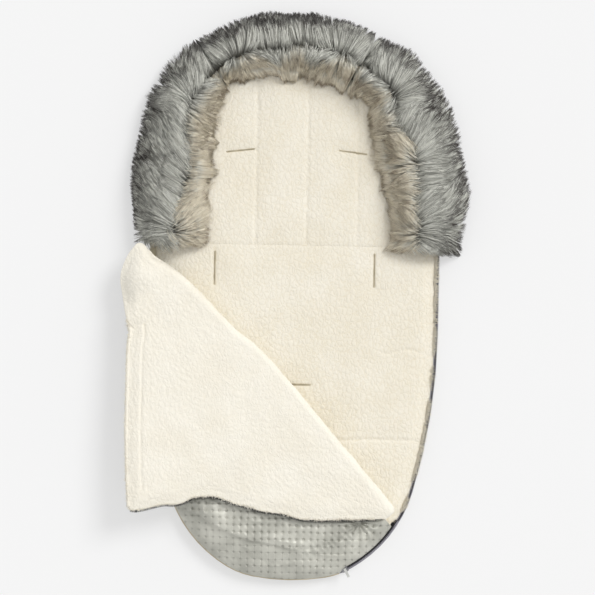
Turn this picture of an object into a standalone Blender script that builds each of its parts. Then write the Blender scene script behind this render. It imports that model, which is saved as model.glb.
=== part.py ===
"""Stroller footmuff with a fur-trimmed head section, lying open on its back.

The cover is unzipped down the right side and turned back to the left along a
diagonal fold. X points to the right, Y to the head end, Z up. The origin is
the centre of the flat underside.
"""
import math

import bmesh
import bpy
from mathutils import Matrix, Vector

# Outline of the padded back, seen from above
BODY_HALF_WIDTH = 0.2386
SIDE_RADIUS = 0.961
SIDE_CENTRE_Y = -0.060
FOOT_RADIUS = 0.2155
SHOULDER_RADIUS = 0.130
FOOT_ARC_START = math.radians(-16.0)
FOOT_ARC_END = math.radians(-60.0)
SHOULDER_ARC_END = math.radians(-80.0)
HOOD_CENTRE_Y = 0.150
HOOD_RISE = 0.276
SEAM_Y = 0.081

# Layers of the back, from the floor upwards
LAYER_GAP = 0.0003
SHELL_THICKNESS = 0.0032
SHELL_RIM_TOP = 0.0130
SHELL_RIM_WIDTH = 0.0040
WADDING_TOP = 0.0144
BACK_TOP = 0.0220
BACK_EDGE_TOP = 0.0160
CROWN_WIDTH = 0.0250
CAP_INSET = 0.0500
FLOOR_ROUND = 0.0080
SEAM_GROOVE_DEPTH = 0.0030
SEAM_GROOVE_WIDTH = 0.0140
CHANNEL_DEPTH = 0.0020
CHANNEL_WIDTH = 0.0110
CHANNEL_SPACING = 0.0840
CHANNEL_OFFSET = 0.0180
SEAT_CHANNEL_Y = -0.2390

# Harness slots
SLOT_WIDTH = 0.0070
SLOT_WALL = 0.0018
SHOULDER_SLOT_X = 0.0930
SHOULDER_SLOT_Y = 0.2360
SHOULDER_SLOT_LENGTH = 0.0450
SHOULDER_SLOT_SLANT = math.radians(7.0)
WAIST_SLOT_X = 0.1320
WAIST_SLOT_Y = 0.0410
WAIST_SLOT_LENGTH = 0.0540
CROTCH_SLOT_Y = -0.1500
CROTCH_SLOT_LENGTH = 0.0590
CUT_OVERRUN = 0.0100

# Fur trim round the head section
FUR_OVERHANG = 0.0414
FUR_REACH = 0.0806
FUR_END_Y = 0.0880
FUR_HEIGHT = 0.0420
FUR_LOW = 0.0030
FUR_TAPE_THICKNESS = 0.0010
FUR_LEFT_MITRE = math.radians(126.0)
FUR_RIGHT_MITRE = math.radians(63.0)
FUR_MITRE_GAP = math.radians(0.05)

# Diagonal fold of the cover
FOLD_X = 0.1738
FOLD_Y = -0.3680
FOLD_Z = 0.0450
FOLD_DIRECTION = math.radians(130.7)
FOLD_REST_TILT = math.radians(3.0)
FOLD_ROLL_RADIUS = 0.0120
FOLD_ROLL_START = 0.0120
COVER_OFFSET = 0.0010
COVER_THICKNESS = 0.0120
COVER_RIM_THICKNESS = 0.0070
COVER_RISE_WIDTH = 0.0550
COVER_ROOF_SLOPE = 0.04
COVER_ROOF_RISE = 0.0070
COVER_TOP_Y = 0.0620
COVER_ROW_MARGIN = 0.0012
COVER_SEAM_SETBACK = 0.0006
COVER_BLEND_WIDTH = 0.0350
COVER_RISE_START = 0.0060
COVER_RIM_WIDTH = 0.0180

# Turned-back part of the cover
FLAP_LENGTH = 0.5360
FLAP_CORNER = 0.2950
FLAP_WIDTH = 0.3280
FLAP_EDGE_WIDTH = 0.0220
FLAP_EDGE_HALF = 0.0032
HEM_BINDING_WIDTH = 0.0030
FLAP_ZIP_SETBACK = 0.0062

# Bunched corner of the cover beside the upper end of the fold
GUSSET_GAP = 0.0012
GUSSET_HALF_LENGTH = 0.0370
GUSSET_WIDTH = 0.1080
GUSSET_HEIGHT = 0.0250
GUSSET_POWER = 3.4
GUSSET_STEPS = 20
FOLD_ROLL_END = 0.0120

# Zip
ZIP_TAPE_THICKNESS = 0.0010
ZIP_COIL_WIDTH = 0.0038
ZIP_COIL_HEIGHT = 0.0028
ZIP_OVERHANG = 0.0012
ZIP_TAPE_WIDTH = 0.0052
ZIP_FOOT_INSET = 0.0045
ZIP_FOOT_TAPE_WIDTH = 0.0110
COVER_ZIP_INSET = 0.0090
SEAM_WIDTH = 0.0090
SEAM_BEAD = 0.0016
ZIP_PARK_ANGLE = math.radians(-62.3)
ZIP_TRAVEL = math.radians(37.0)
SLIDER_LENGTH = 0.0110
SLIDER_PLATE = 0.0018
SLIDER_WIDTH = 0.0106
SLIDER_CENTRE_INSET = 0.0033
SLIDER_POST_LENGTH = 0.0050
SLIDER_CLEARANCE = 0.0006
BRIDGE_BAR_RADIUS = 0.0006
BRIDGE_HEIGHT = 0.0018
BRIDGE_LENGTH = 0.0070
PULLER_LENGTH = 0.0140
PULLER_WIDTH = 0.0042
PULLER_THICKNESS = 0.0010
PULLER_WALL = 0.0009

# Counts of points along curves
HOOD_STEPS = 10
SIDE_STEPS = 4
FOOT_STEPS = 8
SHOULDER_STEPS = 3
BOTTOM_STEPS = 2
ROUND_STEPS = 12
SLOT_STEPS = 4

# Section of the fur, across from its inner to its outer edge, as (width share, height share)
FUR_TOP_SHARES = (
    (1.00, 0.06), (0.97, 0.34), (0.88, 0.62), (0.72, 0.84), (0.52, 0.97),
    (0.34, 1.00), (0.22, 0.93), (0.13, 0.86), (0.05, 0.52), (0.00, 0.16),
)
FUR_TAPE_SHARES = (0.10, 0.40)

# Rows and columns of the padded sheets, as shares of their length and width
COVER_ROW_SHARES = (
    0.0, 0.012, 0.035, 0.07, 0.11, 0.165, 0.22, 0.29, 0.37, 0.46, 0.56, 0.68, 0.80, 0.91, 1.0,
)
SHEET_COLUMN_SHARES = (0.0, 0.03, 0.09, 0.20, 0.35, 0.50, 0.65, 0.80, 0.91, 0.97, 1.0)
# Edge of the turned-back part, as (share of its length, share of its width)
FLAP_EDGE_SHARES = (
    (0.041, 0.098), (0.119, 0.262), (0.209, 0.402), (0.313, 0.555), (0.399, 0.686),
    (0.485, 0.878), (0.528, 0.970), (0.550, 0.992), (0.571, 0.968), (0.640, 0.884),
    (0.739, 0.756), (0.856, 0.591), (0.937, 0.476), (1.0, 0.390),
)
FLAP_ZIP_POINTS = 7
# Heights and widths of the back's layers where their sections bend, as shares of the size that each follows
SHELL_WAIST_SHARE = 0.6
SHELL_TOE_SHARE = 0.25
SHELL_FLOOR_SHARE = 1.5
WADDING_WAIST_SHARE = 0.65
WADDING_FLOOR_SHARE = 1.6
WADDING_CHAMFER_SHARE = 1.5
# Where the fur's underside ends, as a share of its width, and the gap behind the back's edge, in layer gaps
FUR_LOW_SHARE = 0.96
FUR_BACK_GAP_SHARE = 1.5
# Where a stop starts past a coil's end, as a share of the coil's height
STOP_START_SHARE = 0.25
# How near a cut takes points to lie on its plane, in layer gaps
CUT_REACH_SHARE = 0.01
# Edge points closer than this angle to the end of a run are left out
EDGE_ANGLE_MARGIN = 0.004
# Finish of each layer of a padded piece
LAYER_FINISHES = {"lining": "pile_lining", "wadding": "wadding", "shell": "outer_fabric"}

# Upper and lower face of each layer of the cover, as shares of its thickness
COVER_LAYER_SHARES = (("lining", 0.0, 0.42), ("wadding", 0.42, 0.72), ("shell", 0.72, 1.0))
# The bunched corner, as (share of its radius, share of its height)
GUSSET_SHARES = (
    (0.60, 0.0), (0.90, 0.0), (0.99, 0.20), (1.0, 0.45), (0.93, 0.73), (0.75, 0.92), (0.42, 1.0),
)
# Where the bunched corner leans on the fold roll, as a share of the roll's radius
GUSSET_SEAT_SHARE = 0.79
# The fold roll's tapered end, as (share of the end's length, share of the radius)
ROLL_END_SHARES = ((0.0, 0.45), (0.3, 0.78), (1.0, 1.0))
# Outline of the slider's plate, as (share of its width, share of its length)
SLIDER_SHARES = (
    (-0.50, 0.20), (-0.40, 0.50), (-0.15, 0.50), (0.0, 0.36), (0.15, 0.50), (0.40, 0.50),
    (0.50, 0.20), (0.38, -0.50), (-0.38, -0.50),
)

# Finishes, as (colour, roughness, metallic value)
FINISHES = {
    "outer_fabric": ((0.47, 0.47, 0.43), 0.45, 0.0),
    "pile_lining": ((0.87, 0.83, 0.72), 0.95, 0.0),
    "wadding": ((0.90, 0.90, 0.88), 1.0, 0.0),
    "fur": ((0.33, 0.30, 0.26), 0.9, 0.0),
    "binding": ((0.80, 0.78, 0.70), 0.8, 0.0),
    "seam_tape": ((0.42, 0.41, 0.44), 0.6, 0.0),
    "zip_tape": ((0.02, 0.02, 0.02), 0.7, 0.0),
    "zip_metal": ((0.50, 0.50, 0.50), 0.35, 1.0),
}


def clear_scene():
    """Remove every object of the open file."""
    for item in list(bpy.data.objects):
        bpy.data.objects.remove(item, do_unlink=True)


def finish_material(name):
    """The Principled material of a finish, made once."""
    found = bpy.data.materials.get(name)
    if found:
        return found
    colour, roughness, metallic = FINISHES[name]
    material = bpy.data.materials.new(name)
    material.use_nodes = True
    shader = material.node_tree.nodes["Principled BSDF"]
    shader.inputs["Base Color"].default_value = (*colour, 1.0)
    shader.inputs["Roughness"].default_value = roughness
    shader.inputs["Metallic"].default_value = metallic
    return material


def add_object(name, mesh, finish, parent=None):
    """Turn a bmesh into a named object, under a parent that it shares its place with."""
    bmesh.ops.recalc_face_normals(mesh, faces=mesh.faces)
    data = bpy.data.meshes.new(name)
    mesh.to_mesh(data)
    mesh.free()
    item = bpy.data.objects.new(name, data)
    bpy.context.scene.collection.objects.link(item)
    data.materials.append(finish_material(finish))
    data.shade_smooth()
    data.set_sharp_from_angle(angle=math.radians(40.0))
    item.parent = parent
    return item


def add_empty(name, matrix, parent=None):
    """An empty on a joint's axis."""
    item = bpy.data.objects.new(name, None)
    bpy.context.scene.collection.objects.link(item)
    item.parent = parent
    item.matrix_world = matrix
    return item


def smooth(value):
    """Smooth step from 0 to 1."""
    value = min(1.0, max(0.0, value))
    return value * value * (3.0 - 2.0 * value)


def crown(inset):
    """Height of the back's upper surface at a distance in from its edge."""
    share = min(1.0, max(0.0, inset / CROWN_WIDTH))
    return BACK_EDGE_TOP + (BACK_TOP - BACK_EDGE_TOP) * share


def direction(angle):
    """Unit vector of an angle in the plan."""
    return Vector((math.cos(angle), math.sin(angle)))


def foot_centre():
    """Centre of the round foot end, tangent to the long side arc."""
    side = Vector((BODY_HALF_WIDTH - SIDE_RADIUS, SIDE_CENTRE_Y))
    return side + direction(FOOT_ARC_START) * (SIDE_RADIUS - FOOT_RADIUS)


def arc(centre, radius, start, end, count):
    """Points with outward normals along an arc, without its first point."""
    result = []
    for step in range(1, count + 1):
        normal = direction(start + (end - start) * step / count)
        result.append((centre + normal * radius, normal))
    return result


def right_half():
    """Points with outward normals of the right half, from the foot end to the head end."""
    centre = foot_centre()
    shoulder = centre + direction(FOOT_ARC_END) * (FOOT_RADIUS - SHOULDER_RADIUS)
    reach = shoulder.x / math.cos(SHOULDER_ARC_END)
    bottom = shoulder - direction(SHOULDER_ARC_END) * reach
    side = Vector((BODY_HALF_WIDTH - SIDE_RADIUS, SIDE_CENTRE_Y))
    points = arc(bottom, SHOULDER_RADIUS + reach, math.radians(-90.0), SHOULDER_ARC_END, BOTTOM_STEPS)
    points += arc(shoulder, SHOULDER_RADIUS, SHOULDER_ARC_END, FOOT_ARC_END, SHOULDER_STEPS)
    points += arc(centre, FOOT_RADIUS, FOOT_ARC_END, FOOT_ARC_START, FOOT_STEPS)
    points += arc(side, SIDE_RADIUS, FOOT_ARC_START, 0.0, SIDE_STEPS)
    for step in range(HOOD_STEPS):
        points.append(hood_edge(math.pi / 2 * step / HOOD_STEPS))
    return points


def hood_edge(angle):
    """Point and outward normal of the head section's edge."""
    point = Vector((BODY_HALF_WIDTH * math.cos(angle), HOOD_CENTRE_Y + HOOD_RISE * math.sin(angle)))
    normal = Vector((math.cos(angle) / BODY_HALF_WIDTH, math.sin(angle) / HOOD_RISE)).normalized()
    return point, normal


def foot_low():
    """Lowest point of the foot end."""
    centre = foot_centre()
    shoulder = centre + direction(FOOT_ARC_END) * (FOOT_RADIUS - SHOULDER_RADIUS)
    reach = shoulder.x / math.cos(SHOULDER_ARC_END)
    return shoulder.y - SHOULDER_RADIUS - reach * (1.0 + math.sin(SHOULDER_ARC_END))


def whole_edge():
    """The back's edge, all round, anticlockwise from the middle of the foot end."""
    right = right_half()
    left = [(Vector((-point.x, point.y)), Vector((-normal.x, normal.y))) for point, normal in reversed(right)]
    foot = (Vector((0.0, foot_low())), direction(math.radians(-90.0)))
    head = (Vector((0.0, HOOD_CENTRE_Y + HOOD_RISE)), direction(math.radians(90.0)))
    return [foot] + right + [head] + left


def loft(rings, closed=False):
    """A solid through rings of as many points each, capped or joined end to end."""
    mesh = bmesh.new()
    levels = [[mesh.verts.new(point) for point in ring] for ring in rings]
    pairs = list(zip(levels, levels[1:]))
    if closed:
        pairs.append((levels[-1], levels[0]))
    for lower, upper in pairs:
        for index, corner in enumerate(lower):
            following = (index + 1) % len(lower)
            mesh.faces.new((corner, lower[following], upper[following], upper[index]))
    if not closed:
        mesh.faces.new(list(reversed(levels[0])))
        mesh.faces.new(levels[-1])
    return mesh


def pad(profile):
    """A solid whose section at the edge is a profile of (inset, height)."""
    edge = whole_edge()
    rings = []
    for inset, height in profile:
        rings.append([Vector((*(point - normal * inset), height)) for point, normal in edge])
    return loft(rings)


def cut(mesh, point, normal, keep_all=True):
    """Cut a mesh by a plane, and close it again where the side that the normal points to goes."""
    geometry = list(mesh.verts) + list(mesh.edges) + list(mesh.faces)
    bmesh.ops.bisect_plane(
        mesh, geom=geometry, plane_co=point, plane_no=normal, clear_outer=not keep_all,
        dist=LAYER_GAP * CUT_REACH_SHARE,
    )
    if not keep_all:
        rim = [edge for edge in mesh.edges if edge.is_boundary]
        bmesh.ops.holes_fill(mesh, edges=rim, sides=0)


def press(mesh, axis, place, width, depth):
    """Press a sewn channel into the upper surface along a line of constant X or Y."""
    normal = Vector((0.0, 0.0, 0.0))
    normal[axis] = 1.0
    for line in (place - width, place, place + width):
        cut(mesh, normal * line, normal)
    for vertex in mesh.verts:
        share = (vertex.co.z - BACK_EDGE_TOP) / (BACK_TOP - BACK_EDGE_TOP)
        if abs(vertex.co[axis] - place) < LAYER_GAP and share > 0.0:
            vertex.co.z -= depth * share


def back_layer(profile, hood):
    """One layer of the head section or of the seat, cut at the seam between them."""
    mesh = pad(profile)
    side = -1.0 if hood else 1.0
    place = Vector((0.0, SEAM_Y - side * LAYER_GAP / 2.0, 0.0))
    cut(mesh, place, Vector((0.0, side, 0.0)), keep_all=False)
    return mesh


def shell_profile():
    """Section of the outer fabric: a shallow tray."""
    return (
        (CAP_INSET, 0.0),
        (FLOOR_ROUND, 0.0),
        (FLOOR_ROUND * SHELL_TOE_SHARE, SHELL_THICKNESS),
        (0.0, SHELL_RIM_TOP * SHELL_WAIST_SHARE),
        (0.0, SHELL_RIM_TOP),
        (SHELL_RIM_WIDTH, SHELL_RIM_TOP),
        (SHELL_RIM_WIDTH, SHELL_RIM_TOP * SHELL_WAIST_SHARE),
        (FLOOR_ROUND * SHELL_FLOOR_SHARE, SHELL_THICKNESS),
        (CAP_INSET, SHELL_THICKNESS),
    )


def wadding_profile():
    """Section of the filling, inside the tray."""
    wall = SHELL_RIM_WIDTH + LAYER_GAP * 2.0
    return (
        (CAP_INSET, SHELL_THICKNESS + LAYER_GAP),
        (FLOOR_ROUND * WADDING_FLOOR_SHARE, SHELL_THICKNESS + LAYER_GAP),
        (wall, SHELL_RIM_TOP * WADDING_WAIST_SHARE),
        (wall, SHELL_RIM_TOP),
        (wall * WADDING_CHAMFER_SHARE, WADDING_TOP),
        (CAP_INSET, WADDING_TOP),
    )


def lining_profile():
    """Section of the pile lining on the filling."""
    return (
        (CAP_INSET, WADDING_TOP + LAYER_GAP),
        (SHELL_RIM_WIDTH, WADDING_TOP + LAYER_GAP),
        (0.0, SHELL_RIM_TOP + LAYER_GAP),
        (0.0, crown(0.0)),
        (CROWN_WIDTH, crown(CROWN_WIDTH)),
        (CAP_INSET, BACK_TOP),
    )


def stadium(width, length):
    """A slot outline with round ends, its length along X."""
    radius = width / 2.0
    reach = length / 2.0 - radius
    points = []
    for side in (1.0, -1.0):
        for step in range(SLOT_STEPS + 1):
            angle = math.pi * (step / SLOT_STEPS - side / 2.0)
            points.append(Vector((side * reach, 0.0)) + direction(angle) * radius)
    return points


def slots():
    """Name, place, turn, length and section of each harness slot."""
    quarter = math.pi / 2.0
    return (
        ("slot_binding_shoulder_left", (-SHOULDER_SLOT_X, SHOULDER_SLOT_Y), SHOULDER_SLOT_SLANT,
         SHOULDER_SLOT_LENGTH, True),
        ("slot_binding_shoulder_right", (SHOULDER_SLOT_X, SHOULDER_SLOT_Y), -SHOULDER_SLOT_SLANT,
         SHOULDER_SLOT_LENGTH, True),
        ("slot_binding_waist_left", (-WAIST_SLOT_X, WAIST_SLOT_Y), quarter, WAIST_SLOT_LENGTH, False),
        ("slot_binding_waist_right", (WAIST_SLOT_X, WAIST_SLOT_Y), quarter, WAIST_SLOT_LENGTH, False),
        ("slot_binding_crotch", (0.0, CROTCH_SLOT_Y), 0.0, CROTCH_SLOT_LENGTH, False),
    )


def slot_ring(place, turn, width, length, height):
    """Outline of a slot at its place and height."""
    spin = Matrix.Rotation(turn, 2)
    return [Vector((*(Vector(place) + spin @ point), height)) for point in stadium(width, length)]


def build_slots():
    """The bound edges of the slots, and the cutters that open the layers for them."""
    cutters = {}
    for name, place, turn, length, in_hood in slots():
        outer = SLOT_WIDTH + SLOT_WALL * 2.0
        longer = length + SLOT_WALL * 2.0
        rings = (
            slot_ring(place, turn, outer, longer, LAYER_GAP),
            slot_ring(place, turn, outer, longer, BACK_TOP - LAYER_GAP),
            slot_ring(place, turn, SLOT_WIDTH, length, BACK_TOP - LAYER_GAP),
            slot_ring(place, turn, SLOT_WIDTH, length, LAYER_GAP),
        )
        add_object(name, loft(rings, closed=True), "binding")
        hole = outer + LAYER_GAP * 2.0
        longer += LAYER_GAP * 2.0
        cutter = add_object(
            name.replace("binding", "cutter"),
            loft((
                slot_ring(place, turn, hole, longer, -CUT_OVERRUN),
                slot_ring(place, turn, hole, longer, BACK_TOP + CUT_OVERRUN),
            )),
            "binding",
        )
        cutter.hide_render = True
        cutter.display_type = "WIRE"
        cutters.setdefault(in_hood, []).append(cutter)
    return cutters


def subtract(item, cutters):
    """Cut an object by each cutter with the exact solver."""
    for cutter in cutters:
        modifier = item.modifiers.new(cutter.name, "BOOLEAN")
        modifier.operation = "DIFFERENCE"
        modifier.solver = "EXACT"
        modifier.object = cutter


def build_back():
    """The padded back in two sections, each of outer fabric, filling and pile lining."""
    cutters = build_slots()
    layers = (
        ("shell", shell_profile(), "outer_fabric"),
        ("wadding", wadding_profile(), "wadding"),
        ("lining", lining_profile(), "pile_lining"),
    )
    for section, hood in (("hood", True), ("back", False)):
        for layer, profile, finish in layers:
            mesh = back_layer(profile, hood)
            if layer == "lining":
                press_lining(mesh, hood)
            item = add_object(f"{section}_{layer}", mesh, finish)
            subtract(item, cutters[hood])


def press_lining(mesh, hood):
    """The seam and the sewn channels of one section's lining."""
    side = 1.0 if hood else -1.0
    edge = SEAM_Y + side * LAYER_GAP / 2.0
    cut(mesh, Vector((0.0, edge + side * SEAM_GROOVE_WIDTH, 0.0)), Vector((0.0, 1.0, 0.0)))
    for vertex in mesh.verts:
        share = (vertex.co.z - BACK_EDGE_TOP) / (BACK_TOP - BACK_EDGE_TOP)
        if abs(vertex.co.y - edge) < LAYER_GAP and share > 0.0:
            vertex.co.z -= SEAM_GROOVE_DEPTH * share
    if hood:
        for number in (-1, 0, 1):
            press(mesh, 0, CHANNEL_OFFSET + CHANNEL_SPACING * number, CHANNEL_WIDTH, CHANNEL_DEPTH)
    else:
        press(mesh, 1, SEAT_CHANNEL_Y, CHANNEL_WIDTH, CHANNEL_DEPTH)


def fur_station(angle, leg=None):
    """Inner point and span of the fur across its width, on an arch angle or on a straight leg."""
    edge = hood_edge(angle)[0]
    outward = direction(angle)
    inner = edge - outward * FUR_REACH
    outer = edge + outward * FUR_OVERHANG
    if leg is not None:
        inner.y = leg
        outer.y = leg
    return inner, outer - inner


def fur_section(width):
    """Section of the fur as (width share, height), on the tape and over the edge."""
    under = BACK_TOP + FUR_TAPE_THICKNESS + LAYER_GAP * 2.0
    edge = FUR_REACH / width
    slope = edge - CROWN_WIDTH / width
    points = [
        (FUR_TAPE_SHARES[0] / 2.0, under),
        (slope, under),
        (edge, BACK_EDGE_TOP + FUR_TAPE_THICKNESS + LAYER_GAP * 2.0),
        (edge + LAYER_GAP * FUR_BACK_GAP_SHARE / width, BACK_EDGE_TOP),
        (edge + LAYER_GAP * FUR_BACK_GAP_SHARE / width, FUR_LOW),
        (FUR_LOW_SHARE, FUR_LOW),
    ]
    share, rise = FUR_TOP_SHARES[0]
    points.append((share, FUR_LOW + (BACK_TOP + FUR_HEIGHT - FUR_LOW) * rise))
    for share, rise in FUR_TOP_SHARES[1:-1]:
        points.append((share, BACK_TOP + FUR_HEIGHT * rise))
    points.append((FUR_TOP_SHARES[-1][0], under + FUR_HEIGHT * FUR_TOP_SHARES[-1][1]))
    return points


def fur_path(start, end):
    """Stations between two arch angles, with the straight legs at the two ends."""
    stations = []
    if start <= 0.0:
        stations += [fur_station(0.0, leg=FUR_END_Y), fur_station(0.0, leg=(FUR_END_Y + HOOD_CENTRE_Y) / 2.0)]
        start = 0.0
    last = min(end, math.pi)
    stations.append(fur_station(start))
    for step in range(1, HOOD_STEPS * 2):
        angle = math.pi / 2.0 * step / HOOD_STEPS
        if start + FUR_MITRE_GAP * 2.0 < angle < last - FUR_MITRE_GAP * 2.0:
            stations.append(fur_station(angle))
    stations.append(fur_station(last))
    if end > math.pi:
        stations += [
            fur_station(math.pi, leg=(FUR_END_Y + HOOD_CENTRE_Y) / 2.0),
            fur_station(math.pi, leg=FUR_END_Y),
        ]
    return stations


def build_fur():
    """The fur trim in three lengths, mitred at the corners, and the tape that it is sewn to."""
    runs = (
        ("fur_right", -1.0, FUR_RIGHT_MITRE - FUR_MITRE_GAP),
        ("fur_top", FUR_RIGHT_MITRE + FUR_MITRE_GAP, FUR_LEFT_MITRE - FUR_MITRE_GAP),
        ("fur_left", FUR_LEFT_MITRE + FUR_MITRE_GAP, math.pi + 1.0),
    )
    for name, start, end in runs:
        rings = []
        for inner, span in fur_path(start, end):
            section = fur_section(span.length)
            rings.append([Vector((*(inner + span * share), height)) for share, height in section])
        add_object(name, loft(rings), "fur")
    rings = []
    low = BACK_TOP + LAYER_GAP
    high = low + FUR_TAPE_THICKNESS
    near, far = FUR_TAPE_SHARES
    for inner, span in fur_path(-1.0, math.pi + 1.0):
        section = ((near, low), (far, low), (far, high), (near, high))
        rings.append([Vector((*(inner + span * share), height)) for share, height in section])
    add_object("fur_seam_tape", loft(rings), "seam_tape")


def edge_run(start, end, left=False):
    """Edge points with normals between two angles about the foot's centre, the ends included."""
    centre = foot_centre()
    result = []
    for point, normal in whole_edge():
        angle = math.atan2(point.y - centre.y, point.x - centre.x)
        if left and angle > 0.0 and point.x < 0.0:
            angle -= math.pi * 2.0
        result.append((angle, point, normal))
    result.sort(key=lambda entry: entry[0])
    run = [at_angle(result, start)]
    low, high = start + EDGE_ANGLE_MARGIN, end - EDGE_ANGLE_MARGIN
    run += [(point, normal) for angle, point, normal in result if low < angle < high]
    run.append(at_angle(result, end))
    return run


def at_angle(entries, wanted):
    """Point and normal on the edge, between its neighbours in angle."""
    for (low, first, first_normal), (high, second, second_normal) in zip(entries, entries[1:]):
        if low <= wanted <= high:
            share = (wanted - low) / (high - low)
            return first.lerp(second, share), first_normal.lerp(second_normal, share).normalized()
    raise ValueError("no edge point at this angle")


def sweep(run, section):
    """A strip along a run, whose section is (inset, height)."""
    rings = []
    for point, normal in run:
        rings.append([Vector((*(point - normal * inset), height)) for inset, height in section])
    return loft(rings)


def strip_section(near, far, base, thickness):
    """Section of a flat strip that follows the crown of the back."""
    insets = [near, far] if near >= 0.0 else [near, 0.0, far]
    lower = [(inset, crown(inset) + base) for inset in insets]
    upper = [(inset, crown(inset) + base + thickness) for inset in reversed(insets)]
    return lower + upper


def edge_angle(height):
    """Angle about the foot's centre of the right edge's point at a height in the plan."""
    return math.atan2(height - foot_centre().y, BODY_HALF_WIDTH - foot_centre().x)


def build_edge():
    """The sewn left side, and the zip's tapes and coils on the back and on the foot cover."""
    stop = ZIP_PARK_ANGLE - SLIDER_LENGTH / FOOT_RADIUS
    tape_base = LAYER_GAP
    coil_base = LAYER_GAP * 2.0 + ZIP_TAPE_THICKNESS
    fold = math.atan2(FOLD_Y - foot_centre().y, FOLD_X - foot_centre().x)
    head = edge_angle(SEAM_Y - SEAM_GROOVE_WIDTH)
    tape = strip_section(-ZIP_OVERHANG, ZIP_TAPE_WIDTH - ZIP_OVERHANG, tape_base, ZIP_TAPE_THICKNESS)
    coil = strip_section(-ZIP_OVERHANG, ZIP_COIL_WIDTH - ZIP_OVERHANG, coil_base, ZIP_COIL_HEIGHT)
    gap_angle = SLIDER_LENGTH / FOOT_RADIUS / 2.0
    add_object("zip_tape_back", sweep(edge_run(stop, head), tape), "zip_tape")
    add_object("zip_coil_back", sweep(edge_run(stop + gap_angle, head - gap_angle), coil), "zip_tape")
    near = ZIP_FOOT_INSET
    tape = strip_section(near, near + ZIP_FOOT_TAPE_WIDTH, tape_base, ZIP_TAPE_THICKNESS)
    coil = strip_section(near, near + ZIP_COIL_WIDTH, coil_base, ZIP_COIL_HEIGHT)
    add_object("zip_tape_foot", sweep(edge_run(stop, fold), tape), "zip_tape")
    add_object("zip_coil_foot", sweep(edge_run(stop + gap_angle, fold), coil), "zip_tape")
    seam = [
        (-SEAM_BEAD, SHELL_RIM_TOP),
        (-LAYER_GAP, SHELL_RIM_TOP),
        (-LAYER_GAP, BACK_EDGE_TOP + LAYER_GAP),
        (0.0, BACK_EDGE_TOP + LAYER_GAP),
        (SEAM_WIDTH, crown(SEAM_WIDTH) + LAYER_GAP),
        (SEAM_WIDTH, crown(SEAM_WIDTH) + LAYER_GAP + ZIP_TAPE_THICKNESS),
        (0.0, BACK_EDGE_TOP + LAYER_GAP + ZIP_TAPE_THICKNESS),
        (-SEAM_BEAD, BACK_EDGE_TOP + LAYER_GAP + ZIP_TAPE_THICKNESS),
    ]
    top = math.pi - math.atan2(COVER_TOP_Y - foot_centre().y, BODY_HALF_WIDTH + foot_centre().x)
    seam_run = edge_run(top - math.pi * 2.0, stop - LAYER_GAP * 2.0 / FOOT_RADIUS, left=True)
    add_object("side_seam", sweep(seam_run, seam), "seam_tape")
    build_stop("zip_bottom_stop", *edge_run(stop, head)[0], True)
    build_stop("zip_top_stop_back", *edge_run(stop, head)[-1], False)


def build_stop(name, point, normal, wide):
    """A clamped stop across the end of one coil, or of both."""
    tangent = Vector((-normal.y, normal.x))
    side = 1.0 if wide else -1.0
    near = LAYER_GAP
    far = ZIP_FOOT_INSET + ZIP_COIL_WIDTH if wide else ZIP_COIL_WIDTH - ZIP_OVERHANG
    low = ZIP_TAPE_THICKNESS + LAYER_GAP * 2.0
    rings = []
    for along in (ZIP_COIL_HEIGHT * STOP_START_SHARE, ZIP_COIL_HEIGHT):
        base = point + tangent * side * along
        corners = strip_section(near, far, low, ZIP_COIL_HEIGHT)
        rings.append([Vector((*(base - normal * inset), height)) for inset, height in corners])
    add_object(name, loft(rings), "zip_metal")


def fold_matrix(tilt):
    """Frame of the fold: X along it, Y across the turned-back cover, Z out of its pile side."""
    place = Matrix.Translation((FOLD_X, FOLD_Y, FOLD_Z))
    return place @ Matrix.Rotation(FOLD_DIRECTION, 4, "Z") @ Matrix.Rotation(tilt, 4, "X")


def fold_distance(point):
    """Distance of a plan point from the fold line, towards the foot end's left."""
    across = direction(FOLD_DIRECTION + math.pi / 2.0)
    return (point - Vector((FOLD_X, FOLD_Y))).dot(across)


def edge_distance(point, edge):
    """Distance of a plan point in from the back's edge."""
    best = BODY_HALF_WIDTH
    for first, second in zip(edge, edge[1:] + edge[:1]):
        along = second - first
        share = min(1.0, max(0.0, (point - first).dot(along) / along.length_squared))
        best = min(best, (point - first - along * share).length)
    return best


def width_at(outline, height):
    """Lowest and highest X at which an outline crosses a line of constant Y."""
    crossings = []
    for first, second in zip(outline, outline[1:] + outline[:1]):
        if min(first.y, second.y) <= height < max(first.y, second.y):
            crossings.append(first.x + (second.x - first.x) * (height - first.y) / (second.y - first.y))
    return min(crossings), max(crossings)


def cover_edge():
    """Edge of the fixed cover: on the side seam, and drawn in behind the open zip."""
    end = foot_centre() + direction(ZIP_PARK_ANGLE) * FOOT_RADIUS - Vector((SLIDER_LENGTH * 2.0, 0.0))
    result = []
    for point, normal in whole_edge():
        share = smooth((point.x - end.x) / COVER_BLEND_WIDTH + 1.0)
        inset = COVER_SEAM_SETBACK + (COVER_ZIP_INSET - COVER_SEAM_SETBACK) * share
        result.append(point - normal * inset)
    return result


def cover_rows():
    """Plan points of the fixed cover, row by row from the foot end."""
    outline = cover_edge()
    low = min(point.y for point in outline) + COVER_ROW_MARGIN
    offset = (FOLD_ROLL_RADIUS + LAYER_GAP) / math.sin(FOLD_DIRECTION)
    rows = []
    for share in COVER_ROW_SHARES:
        y = low + (COVER_TOP_Y - low) * share
        left, right = width_at(outline, y)
        fold = FOLD_X + (y - FOLD_Y) / math.tan(FOLD_DIRECTION) - offset
        right = min(right, fold)
        rows.append([Vector((left + (right - left) * part, y)) for part in SHEET_COLUMN_SHARES])
    return rows


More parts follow.
